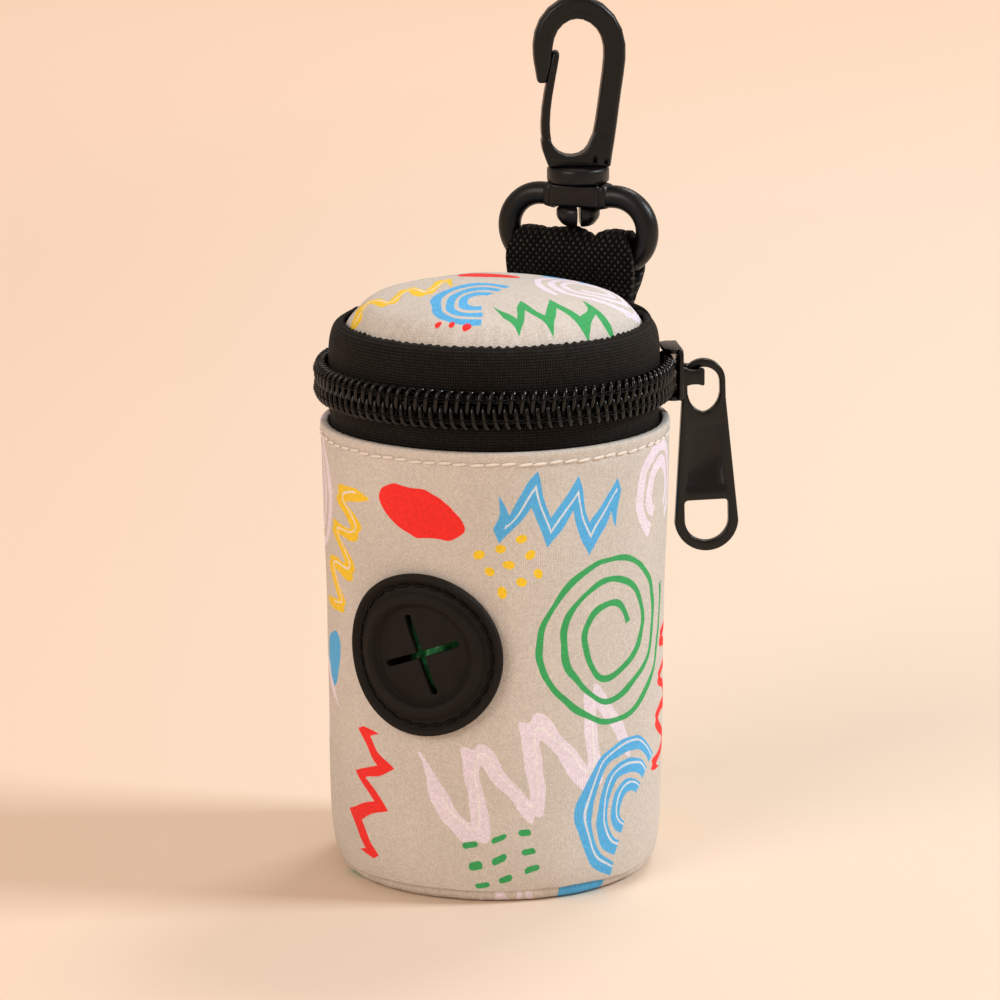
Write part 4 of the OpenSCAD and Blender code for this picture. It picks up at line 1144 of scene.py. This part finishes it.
def make_lid():
    """Padded lid: printed dome, its padding and its lining."""
    floor = [(0.4, 79.0), (7, 79.0), (14, 79.0), (19, 79.0)]
    skirt = [(22.3, 79.0), (21.95, 80.1), (21.6, 81.0)]
    dome = dome_line(0.25, 0.25, [*range(0, 26, 5), *range(30, 61, 6), 65, 70, 74, 78, 81, 84, 86, 88, 89.4])
    bm = revolve(floor + skirt + dome, 180)
    for up in (True, False):
        pole = [v for v in bm.verts if v.co.xy.length < 0.6 and (v.co.z > 83) == up]
        bmesh.ops.pointmerge(bm, verts=pole, merge_co=sum((v.co for v in pole), Vector()) / len(pole))
    bmesh.ops.recalc_face_normals(bm, faces=bm.faces)
    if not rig.quick():
        puff(bm, lambda co: co.z < 81.2, 3.0, 0.5)
    for v in bm.verts:
        if v.co.z > 81.2:
            rim = hump(v.co.xy.length, 20.8, 2.2) * waver(angle_of(v.co), 0, 8.0, 1.0, 5.0)
            v.co.z = min(v.co.z + 0.16 * rim + 0.35 * noise.noise(v.co * 0.11), DOME_TOP + 0.3)
    under = [f for f in bm.faces if f.calc_center_median().z < 79.01]
    bmesh.ops.delete(bm, geom=under, context="FACES")
    lid = place("lid_cloth", bm, LID_CLOTH, "lid", ["lid_fabric"], "print_cloth")
    thicken(lid, 0.5)
    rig.padded(lid, fill=0.85)
    pad = [(0.05, 80.3), (8, 80.28), (15, 80.28), (20.7, 80.3)] + dome_line(1.1, 1.15, range(0, 90, 8))
    bm = revolve(pad + [(0.05, DOME_TOP - 1.15)], 96)
    foam = place("lid_padding", bm, FOAM, "lid", ["lid_foam"], "foam")
    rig.padded(foam, fill=0.8)
    disc = revolve([(0.01, 79.95), (6, 79.93), (12, 79.92), (17, 79.95), (20, 79.98), (21.0, 80.02)], 96)
    for v in disc.verts:
        v.co.z += 0.06 * noise.noise(v.co * 0.25)
    lining = place("lid_lining_cloth", disc, LINING, "lid", ["lid_lining"], "lining", closed=False)
    thicken(lining, 0.2, offset=0.0)
    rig.sheet(lining, flat=(0.042, 0.042), area=0.00139, held="stretched", rests_on=["lid_padding"])


# ---------------------------------------------------------------- outlet


def on_wall(x, y, h):
    """Bends a point of a flat drawing (x across, y up, h outwards) round the cloth tube."""
    z = OUTLET_Z + y
    r = wall_r(z)
    a = x / r + math.radians(OUTLET_TURN)
    return Vector(((r + h) * math.sin(a), -(r + h) * math.cos(a), z))


def make_outlet():
    """Moulded rubber outlet with a stitched rim, a raised lip and two crossed slits."""
    half, slit = 6.15, 0.48
    arm = [(slit, -slit), (half - 0.3, -slit), (half, 0.0), (half - 0.3, slit)]
    cross = [rotation(20.5 + 90 * quarter, "Z") @ Vector((x, y, 0)) for quarter in range(4) for x, y in arm]
    bm = bmesh.new()
    edges = line_of(bm, cross, True)
    edges += line_of(bm, [(x, y, 0) for x, y in arc(0, 0, 7.2, 0, 360 - 360 / 96, 96)], True)
    bmesh.ops.triangle_fill(bm, edges=edges, use_beauty=True)
    bmesh.ops.subdivide_edges(bm, edges=[e for e in bm.edges if e.calc_length() > 1.6], cuts=2)
    bmesh.ops.triangulate(bm, faces=bm.faces)
    bmesh.ops.reverse_faces(bm, faces=[f for f in bm.faces if f.normal.z < 0])
    extrude_plate(bm, 1.0)
    moved(bm, translation(0, 0, -0.45))
    round_edges(bm, 0.14, 2, 60)
    for v in bm.verts:
        v.co.z += 0.1 * hump(v.co.xy.length, 0, 2.0) + 0.05 * hump(v.co.xy.length, 4.2, 0.5)
    rim = [(6.95, -0.45), (6.95, 0.46), (7.2, 0.62), (7.42, 1.02), (7.65, 1.42), (7.95, 1.66), (8.35, 1.72),
           (8.75, 1.66), (9.1, 1.45), (9.35, 1.2), (9.6, 1.03), (9.9, 0.97), (10.15, 0.9), (10.4, 0.88),
           (10.65, 0.93), (10.85, 1.08), (11.0, 1.28), (11.2, 1.45), (11.45, 1.52), (11.7, 1.45),
           (11.88, 1.22), (11.95, 0.9), (11.95, 0.4), (11.9, 0.08), (10.8, 0.06), (9.0, 0.06),
           (6.9, 0.06), (6.85, -2.2), (6.35, -2.25), (6.3, -0.45)]
    whole = merged(bm, moved(revolve(rim, 128, closed=True), rotation(90, "Z")))
    for v in whole.verts:
        v.co = on_wall(v.co.x, v.co.y, v.co.z)
    place("outlet_rubber", whole, RUBBER, "pouch", ["outlet"], "rubber")
    bm = bmesh.new()
    for i in range(28):
        at = [(10.38 * math.cos(a * TURN / 28), 10.38 * math.sin(a * TURN / 28))
              for a in (i - 0.36, i, i + 0.36)]
        out = on_wall(*at[1], 2.0) - on_wall(*at[1], 1.0)
        stitch(bm, on_wall(*at[0], 0.96), on_wall(*at[2], 0.96), out, 0.3)
    place("outlet_stitches", bm, BLACK_THREAD, "pouch", slot="rubber")
    bm = bmesh.new()
    bmesh.ops.create_grid(bm, x_segments=30, y_segments=30, size=1.0)
    for v in bm.verts:
        x, y = 5.3 * v.co.x, 5.7 * v.co.y
        within = min(1.0, 6.0 / max(math.hypot(x, y), 0.1))
        x, y = x * within, y * within
        crease = 1.3 * noise.noise(Vector((x * 0.42, y * 0.3, 2.0)))
        crease += 0.5 * noise.noise(Vector((x, y * 0.7, 6.0)))
        v.co = on_wall(x, y, -3.1 + crease - 0.15 * abs(x))
    face_out(bm)
    tail = place("bag_tail", bm, FILM, "pouch", slot="film", closed=False)
    thicken(tail, 0.08)
    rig.sheet(tail, flat=(0.0106, 0.0114), area=0.0001, held="hung", rests_on=["outlet_rubber"])


# ---------------------------------------------------------------- slider and pull


PULL_PIVOT_Y = -30.15
PULL_PIVOT_Z = 72.75


def at_slider(bm):
    """Turns a piece drawn at the front, where -Y is outwards, to the slider's place."""
    return moved(bm, rotation(SLIDER_AT, "Z"))


def make_slider():
    """Slider body, with outer and inner plate, flanges, wedge post and the pull's bail."""
    def part(corners, y, z, *sizes, x=0, turned=rotation(90, "X")):
        return moved(slab(corners, *sizes), translation(x, y, z) @ turned)

    plate = [(-4.3, -2.9), (-3.9, -3.85), (3.9, -3.85), (4.3, -2.9),
             (4.3, 2.9), (3.9, 3.85), (-3.9, 3.85), (-4.3, 2.9)]
    flange = [(-3.5, 0), (3.5, 0), (3.6, 1.1), (2.9, 2.2), (-2.9, 2.2), (-3.6, 1.1)]
    post = [(1.9, 0), (2.4, -0.5), (3.5, -0.45), (3.5, 0.45), (2.4, 0.5)]
    body = merged(part(plate, -26.98, ZIP_Z, 0.75, 0.5, 3, 0.18, 2),
                  part([(x * 0.9, y * 0.87) for x, y in plate], -22.58, ZIP_Z, 0.8, 0.5, 3, 0.2, 2),
                  *(part(flange, -26.8, ZIP_Z + z, 0.7, 0.3, 2, 0.14, 2, turned=Matrix()) for z in (-3.5, 3.5)),
                  part(post, -24.8, ZIP_Z, 4.3, 0.1, 2, 0.05, 1))
    place("zip_slider", at_slider(body), LACQUER, "slider", ["slider_body"], "lacquer")
    leg = [(0, 1.55), (1.2, 1.1), (2.3, 1.05), (3.3, 1.35), (3.3, -1.35), (2.3, -1.05), (1.2, -1.1), (0, -1.55)]
    bridge = [(-2.1, -0.5), (2.1, -0.5), (2.1, 0.5), (-2.1, 0.5)]
    sideways = rotation(-90, "Z") @ rotation(90, "X")
    bail = merged(*(part(leg, -27.35, PULL_PIVOT_Z, 1.3, 0.35, 3, 0.3, 3, x=x, turned=sideways)
                    for x in (-2.25, 2.25)),
                  part(bridge, PULL_PIVOT_Y, PULL_PIVOT_Z, 1.75, 0, 1, 0.3, 3, turned=Matrix()))
    place("slider_bail_bridge", at_slider(bail), LACQUER, "slider", ["slider_bail"], "lacquer")


def make_pull():
    """Painted pull tab: round eye, waisted neck, recessed panel and a D-shaped window."""
    top_r, foot_r, top_z, neck_z, foot_z = 3.25, 4.75, 71.75, 69.5, 50.85
    lean = math.degrees(math.asin((foot_r - top_r) / (neck_z - foot_z)))
    outline = arc(0, top_z, top_r, 0, 180, 24) + arc(0, neck_z, top_r, 180, 180 + lean, 3)
    outline += arc(0, foot_z, foot_r, 180 + lean, 360 - lean, 28)
    outline += arc(0, neck_z, top_r, 360 - lean, 360, 3)[:-1]
    eye = arc(0, 71.4, 2.4, 0, 180, 20)
    eye += [(x * (1.0 if y > 69.8 else 0.97), y - 0.5 * (1 - abs(x) / 2.4))
            for x, y in arc(0, 69.9, 2.4, 180, 360, 20)]
    window = arc(0, foot_z, 3.25, 180, 360, 22)
    window += arc(2.65, foot_z + 2.35, 0.6, 0, 90, 5) + arc(-2.65, foot_z + 2.35, 0.6, 90, 180, 5)
    panel = [(-3.0, 55.9), (3.0, 55.9), (2.6, 65.4), (-2.6, 65.4)]
    bm = bmesh.new()
    for points in (outline, eye, window, panel):
        recess = line_of(bm, [(x, y, 0) for x, y in points], True)
    round_corners(bm, ends_of(recess), 0.7, 3)
    bmesh.ops.triangle_fill(bm, edges=[e for e in bm.edges if e.is_wire], use_beauty=True)
    face_up(bm)
    rim = [e for e in bm.edges if e.is_boundary and 55.3 < (e.verts[0].co.y + e.verts[1].co.y) / 2 < 66.0
           and abs((e.verts[0].co.x + e.verts[1].co.x) / 2) < 3.05]
    bmesh.ops.contextual_create(bm, geom=rim)
    face_up(bm)
    extrude_plate(bm, 1.5)
    moved(bm, translation(0, 0, -0.75))
    for f in list(bm.faces):
        mid = f.calc_center_median()
        if len(f.verts) > 8 and abs(mid.z) > 0.74 and 58 < mid.y < 65:
            bmesh.ops.inset_region(bm, faces=[f], thickness=0.22, depth=-0.3)
    round_edges(bm, 0.28, 3, 60)
    pivot = translation(0, PULL_PIVOT_Y, PULL_PIVOT_Z)
    moved(bm, translation(0, -30.8, 0) @ rotation(-90, "Z") @ rotation(90, "X"))
    moved(bm, pivot @ rotation(-1.6, "X") @ pivot.inverted())
    place("pull_tab_plate", at_slider(bm), LACQUER, "pull", ["pull_tab"], "lacquer")


# ---------------------------------------------------------------- hanger


# Webbing loop seen from the side, from its front foot over the ring's bar to its back foot:
# distance behind the ring, height and half of its width
LOOP_PATH = [(-0.62, 81.3, 10.0), (-0.9, 82.3, 10.0), (-1.5, 83.3, 10.05), (-2.15, 84.3, 10.1),
             (-2.62, 85.4, 10.05), (-2.75, 86.5, 10.0), (-2.75, 87.6, 9.9), (-2.65, 88.6, 9.6),
             (-2.35, 89.4, 9.15), (-1.8, 90.1, 8.7), (-1.0, 90.55, 8.45), (0.0, 90.7, 8.4), (1.0, 90.5, 8.4),
             (1.8, 90.0, 8.55), (2.35, 89.2, 8.9), (2.65, 88.2, 9.2), (2.75, 87.2, 9.5), (2.72, 86.0, 9.6),
             (2.4, 84.8, 9.7), (1.8, 83.7, 9.7), (1.1, 82.6, 9.7), (0.62, 81.3, 9.7)]
TAIL_R = 27.18


def make_strap():
    """Webbing loop: a wide band that comes up from the lid's seam, through the ring and back."""
    half = math.degrees(9.85 / TAIL_R)
    start = 180 - math.degrees(math.asin(HANG_X / TAIL_R)) - half
    rows = [(26.7, 74.4), (27.1, 75.6), (27.3, 76.8), (27.35, 78.0), (27.45, 78.8), (27.6, 79.5), (27.85, 80.2),
            (28.1, 80.9), (28.25, 81.7)]
    tail = revolve(rows, 28, start, 2 * half)
    face_out(tail)
    tail = place("webbing_ends", tail, WEBBING, None, ["strap_tail"], "webbing", closed=False)
    thicken(tail, 2.1)
    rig.blend(tail, "lid", "hanger", start=(0, 0.027, 0.0785), end=(0, 0.027, 0.0808))
    bm = bmesh.new()
    bmesh.ops.subdivide_edges(bm, edges=line_of(bm, [(0, y, z) for y, z, _ in LOOP_PATH]), cuts=1)
    edges, steps = list(bm.edges), 76
    for _ in range(steps):
        fresh, edges = drawn_on(bm, edges)
        bmesh.ops.translate(bm, verts=fresh, vec=(1 / steps, 0, 0))
    for v in bm.verts:
        across, y, z = 2 * v.co.x - 1, v.co.y, v.co.z
        near = sorted((abs(y - py) + abs(z - pz), half_w) for py, pz, half_w in LOOP_PATH)[:2]
        width = (near[0][1] * near[1][0] + near[1][1] * near[0][0]) / max(near[0][0] + near[1][0], 1e-6)
        crest = min(1.0, max(0.0, (z - 87.5) / 2.5))
        foot = min(1.0, max(0.0, (85.2 - z) / 3.6))
        x = HANG_X + across * (width + 0.12 * noise.noise(Vector((across, z * 0.8, 3.0)))) - 0.35 * (y < 0)
        round_back = math.sqrt(TAIL_R ** 2 - x ** 2) - math.sqrt(TAIL_R ** 2 - HANG_X ** 2)
        fold = noise.noise(Vector((across * 3.2, z * 0.35, 7.0 if y < 0 else 1.0)))
        sag = 1.25 * hump(across * 10, 3.2, 1.8) + 0.35 * hump(across * 10, -5.5, 1.5) + 0.12
        sag += 0.3 * noise.noise(Vector((across * 5.0, 5.0, y * 0.3))) + 0.07 * math.cos(TURN * x / 1.04)
        v.co = (x, HANG_Y + y + round_back * foot ** 1.5 + 0.32 * fold * (1 - foot), z - crest * sag)
    bmesh.ops.recalc_face_normals(bm, faces=bm.faces)
    loop = place("webbing_loop", bm, WEBBING, None, ["strap"], "webbing", closed=False)
    thicken(loop, 1.1, offset=0.0)
    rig.blend(loop, "hanger", "ring", start=(0, 0.027, 0.0838), end=(0, 0.027, 0.0874))
    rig.sheet(loop, flat=(0.0195, 0.0265), held="hung", rests_on=["webbing_ends", "swivel_ring"])


RING_MID_Z = 90.85
RING_BAR_R = 1.72
HOOK_TURN = 25.0
HOOK_HALF_T = 1.9

# Middle line of the hook from the nose round the bend to its foot: x, height and half width
HOOK_LINE = [(-5.42, 112.98, 0.3), (-5.42, 113.08, 0.62), (-5.4, 113.4, 0.78), (-5.33, 114.5, 1.02),
             (-5.3, 115.9, 1.3), (-5.32, 117.2, 1.42), (-5.28, 118.6, 1.5), (-5.02, 120.1, 1.54),
             (-4.4, 121.6, 1.58), (-3.35, 122.9, 1.63), (-1.95, 123.85, 1.7), (-0.4, 124.25, 1.76),
             (1.2, 124.05, 1.76), (2.75, 123.25, 1.73), (4.05, 122.0, 1.7), (4.95, 120.4, 1.68),
             (5.4, 118.5, 1.66), (5.42, 116.6, 1.64), (5.2, 114.5, 1.62), (4.85, 112.0, 1.6), (4.5, 109.4, 1.6),
             (4.15, 106.8, 1.62), (3.75, 104.4, 1.68), (3.45, 102.6, 1.68), (3.2, 100.9, 1.7)]
# Middle line of the gate from its root in the hook's foot to its tip
GATE_LINE = [(-4.55, 103.4, 0.62), (-4.75, 104.4, 0.7), (-4.9, 105.6, 0.7), (-4.93, 107.0, 0.69),
             (-4.8, 109.0, 0.67), (-4.5, 111.2, 0.65), (-4.1, 113.4, 0.64), (-3.68, 115.6, 0.63),
             (-3.42, 117.0, 0.6), (-3.32, 117.5, 0.5), (-3.27, 117.75, 0.26)]
# Outline of the hook's foot, from the side bar round under the eye to the gate's root
FOOT_LINE = [(4.9, 105.3), (4.75, 100.4), (-4.48, 100.4), (-4.92, 101.6), (-5.38, 102.9), (-5.56, 104.1),
             (-5.45, 104.7), (-4.95, 104.95), (-4.4, 104.75), (-4.1, 104.2), (-3.6, 103.3), (-2.85, 102.55),
             (-1.85, 102.1), (-0.85, 102.0), (0.15, 102.2), (0.95, 102.7), (1.5, 103.4), (1.9, 104.3),
             (2.6, 105.9)]


def bar(line, half_depth, groove=0.0, sides=28):
    """A rounded bar in the XZ plane that follows a line of (x, height, half width)."""
    def stand(i):
        x, z, half = line[i]
        ahead, behind = line[min(i + 1, len(line) - 1)], line[max(i - 1, 0)]
        along = Vector((ahead[0] - behind[0], 0, ahead[1] - behind[1])).normalized()
        across = Vector((0, 1, 0)).cross(along)
        deep = half_depth * min(1.0, 0.35 + 0.65 * half / line[len(line) // 2][2])
        return translation(x, 0, z) @ Matrix((across * half, Vector((0, deep, 0)), along)).transposed().to_4x4()

    section = []
    for i in range(sides):
        a = TURN * i / sides
        u, v = (math.copysign(abs(w) ** 0.5, w) for w in (math.cos(a), math.sin(a)))
        section.append(Vector((u, v * (1 - groove * hump(u, 0, 0.42)), 0)))
    bm = bmesh.new()
    edges = line_of(bm, [stand(0) @ p for p in section], True)
    bmesh.ops.contextual_create(bm, geom=edges)
    for i in range(1, len(line)):
        fresh, edges = drawn_on(bm, edges)
        bmesh.ops.transform(bm, matrix=stand(i) @ stand(i - 1).inverted(), verts=fresh)
    bmesh.ops.contextual_create(bm, geom=edges)
    return bm


def to_hook(bm):
    """Moves a piece drawn in the hook's own frame to its place."""
    return moved(bm, translation(HANG_X, HANG_Y, 0) @ rotation(HOOK_TURN, "Z"))


def make_ring():
    """Oval swivel ring: a round bar whose ends run into the boss that holds the stem."""
    half, lift = 5.85, 5.15
    path = [(-2.9, RING_MID_Z + lift)] + arc(-half, RING_MID_Z, lift, 90, 270, 30)
    path += arc(half, RING_MID_Z, lift, -90, 90, 30) + [(2.9, RING_MID_Z + lift)]
    parts = [tube(bmesh.new(), [(x, 0, z) for x, z in path], RING_BAR_R, 24)]
    boss = bmesh.new()
    corners = line_of(boss, [(4.05, -2.35, 0), (4.05, 2.35, 0), (-4.05, 2.35, 0), (-4.05, -2.35, 0)], True)
    round_corners(boss, ends_of(corners), 0.9, 5)
    line_of(boss, [(x, y, 0) for x, y in arc(0, 0, 2.12, 0, 352.5, 48)], True)
    bmesh.ops.triangle_fill(boss, edges=list(boss.edges), use_beauty=True)
    extrude_plate(boss, 3.45)
    rim = [e for e in boss.edges if len(e.link_faces) == 2 and e.calc_face_angle(0) > 1.0
           and all(v.co.xy.length > 2.3 for v in e.verts)]
    bmesh.ops.bevel(boss, geom=rim, offset=0.5, segments=4, profile=0.5, affect="EDGES", material=-1)
    parts.append(moved(boss, translation(0, 0, 94.42)))
    for side in (-1, 1):
        parts.append(bar([(side * 4.9, 96.0, 1.78), (side * 4.2, 96.02, 1.95), (side * 3.6, 96.04, 2.1)], 1.9))
    ring = moved(merged(*parts), translation(HANG_X, HANG_Y, 0))
    place("ring_bar", ring, PLASTIC, "ring", ["swivel_ring"], "moulding")


def make_hook():
    """Swivel hook: split stem, collar, foot and bend, with the springy gate."""
    foot = slab(FOOT_LINE, 2 * (HOOK_HALF_T - 0.18), 0, 0, 0.5, 4)
    parts = [bar(HOOK_LINE, HOOK_HALF_T, 0.12), moved(foot, rotation(90, "X"))]
    parts.append(revolve([(0.01, 98.05), (4.25, 98.05), (4.5, 98.12), (4.64, 98.3), (4.68, 98.6), (4.68, 99.8),
                          (4.62, 100.1), (4.4, 100.32), (4.05, 100.4), (0.01, 100.4)], 72))
    for side in (-1, 1):
        prong = revolve([(0.01, 98.2), (2.0, 98.2), (2.0, 94.35), (2.75, 94.28), (3.1, 94.1), (3.27, 93.7),
                         (3.27, 93.0), (3.1, 92.5), (2.7, 91.95), (2.35, 91.6), (2.0, 91.42), (0.01, 91.4)], 48)
        half = bmesh.ops.bisect_plane(prong, geom=[*prong.verts, *prong.edges, *prong.faces],
                                      plane_co=(side * 0.33, 0, 0), plane_no=(side, 0, 0), clear_inner=True)
        rim = [g for g in half["geom_cut"] if isinstance(g, bmesh.types.BMEdge)]
        bmesh.ops.contextual_create(prong, geom=rim)
        parts.append(prong)
    place("hook_frame", to_hook(merged(*parts)), PLASTIC, "hook", ["hook_body"], "moulding")
    gate = place("hook_tongue", to_hook(bar(GATE_LINE, 1.5)), PLASTIC, None, ["hook_gate"], "moulding")
    x, y, _ = (Vector((HANG_X, HANG_Y, 0)) + rotation(HOOK_TURN, "Z") @ Vector((-4.9, 0, 0))) * MM
    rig.blend(gate, "hook", "gate", start=(x, y, 0.1049), end=(x, y, 0.1067))


# ---------------------------------------------------------------- bags


def make_roll():
    """Roll of bags on its cardboard core."""
    top, foot = 59.9, 2.75
    line = [(7.1, foot)]
    line += [(r, foot + up) for r, up in ((9, 0.15), (12, 0.05), (15, 0.12), (16.2, 0.3), (16.45, 1))]
    line += [(16.5, z) for z in spaced(foot + 3, top - 3, 18)]
    line += [(r, top - down) for r, down in ((16.45, 1), (16.2, 0.3), (15, 0.1), (12, 0.05), (9, 0.14))]
    line += [(7.1, top)]
    bm = revolve(line, 160)
    close_ring(bm)
    push_round(bm, lambda angle, z, r: 0.0 if r < 7.5 else -0.18 - 0.18 * waver(angle, z, 2.5, 0.08, 3.0)
               - 0.1 * hump((angle + 180) % 360, 200, 3))
    for v in bm.verts:
        r = v.co.xy.length
        if abs(v.co.z - 31.3) > 28 and r > 7.5:
            v.co.z -= math.copysign(0.12 * (1 + math.sin(r * 9.0)), v.co.z - 31.3)
    place("roll_of_bags", bm, FILM, "roll", ["bag_roll"], "film")


def finish_nodes():
    """Gives the rigid nodes that stay in view their finish."""
    paints = {"base_board": BOARD, "roll_core": CARDBOARD}
    for node, paint in paints.items():
        slots = frame["nodes"][node].data.materials
        slots.clear()
        slots.append(paint)


# ---------------------------------------------------------------- stage


def make_stage():
    """Pale peach floor, soft lamps and the photograph's camera."""
    scene = bpy.context.scene
    scene.view_settings.view_transform = "Standard"
    floor_paint, t, shader = material("peach_floor", srgb(235, 217, 198), 0.9, Specular_IOR_Level=0.1)
    flat = t.here("Flat")
    # The floor is painted darker to the left, a painted shadow, and lighter far back, painted light.
    side, depth = (t.out(t.add("ShaderNodeVectorMath", {0: flat, 1: way}, operation="DOT_PRODUCT"), "Value")
                   for way in ((0.932, 0.362, 0.0), (-0.362, 0.932, 0.0)))
    near = t.blend(t.between(side, -160.0, 90.0), srgb(236, 209, 186), srgb(235, 218, 199))
    t.feed(shader["Base Color"], t.blend(t.between(depth, 430.0, 1050.0), near, srgb(248, 219, 196)))
    bm = bmesh.new()
    bmesh.ops.create_grid(bm, x_segments=8, y_segments=8, size=3000.0)
    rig.stage(place("floor", bm, floor_paint, None, smooth=False, closed=False))
    world = bpy.data.worlds.new("studio_air")
    scene.world = world
    world.use_nodes = True
    t = Tree(world.node_tree)
    air = world.node_tree.nodes["Background"]
    air.inputs["Color"].default_value = (1.0, 0.8, 0.66, 1)
    air.inputs["Strength"].default_value = 0.53
    seen = t.add("ShaderNodeBackground", {"Color": srgb(254, 224, 200), "Strength": 1.0})
    ray = t.out(t.add("ShaderNodeLightPath"), "Is Camera Ray")
    mix = t.add("ShaderNodeMixShader", {0: ray, 1: t.out(air), 2: t.out(seen)})
    t.feed(world.node_tree.nodes["World Output"].inputs["Surface"], t.out(mix))
    lamps = [("key", (1.68, 0.5, 1.35), 0.55, 29.0, (0.88, 1.0, 1.1)),
             ("fill", (-0.75, -2.0, 1.3), 1.3, 22.0, (1.0, 0.92, 0.85)),
             ("back", (0.2, 1.5, 2.2), 0.7, 17.0, (1.0, 0.97, 0.95))]
    for name, where, size, power, colour in lamps:
        lamp = bpy.data.lights.new(name, "AREA")
        lamp.shape, lamp.size, lamp.energy, lamp.color = "SQUARE", size, power, colour
        stand = bpy.data.objects.new(name, lamp)
        bpy.context.collection.objects.link(stand)
        stand.location = where
        stand.rotation_euler = (Vector((0, 0, 0.06)) - Vector(where)).to_track_quat("-Z", "Y").to_euler()
    aim_camera(azimuth=21.2, elevation=12.92, away=700.0, aside=0.75, height=54.6, lens=171.5, roll=-0.25)


def aim_camera(azimuth, elevation, away, aside, height, lens, roll):
    """The camera looks at a point beside the pouch's axis; aside and height are millimetres."""
    a, e = math.radians(azimuth), math.radians(elevation)
    back = Vector((math.sin(a) * math.cos(e), -math.cos(a) * math.cos(e), math.sin(e)))
    right = Vector((math.cos(a), math.sin(a), 0))
    target = Vector((0, 0, height)) + right * aside
    camera = bpy.data.objects.new("camera", bpy.data.cameras.new("camera"))
    bpy.context.collection.objects.link(camera)
    camera.data.sensor_width = 36.0
    camera.data.lens = lens
    camera.data.clip_start, camera.data.clip_end = 0.01, 20.0
    upright = Matrix((right, back.cross(right), back)).transposed().to_4x4()
    camera.matrix_world = translation(*(target + back * away) * MM) @ upright @ rotation(roll, "Z")
    bpy.context.scene.camera = camera


for make in (make_stage, make_wall, make_hem_stitches, make_base, make_linings, make_tapes, make_coils,
             make_hinge_panel, make_lid, make_outlet, make_slider, make_pull, make_strap, make_ring,
             make_hook, make_roll, finish_nodes):
    make()

dressed_box = [list(corner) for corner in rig.bounds()]
with open("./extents.json", "w") as sizes:
    json.dump({"cad": cad_box, "visual": dressed_box}, sizes)
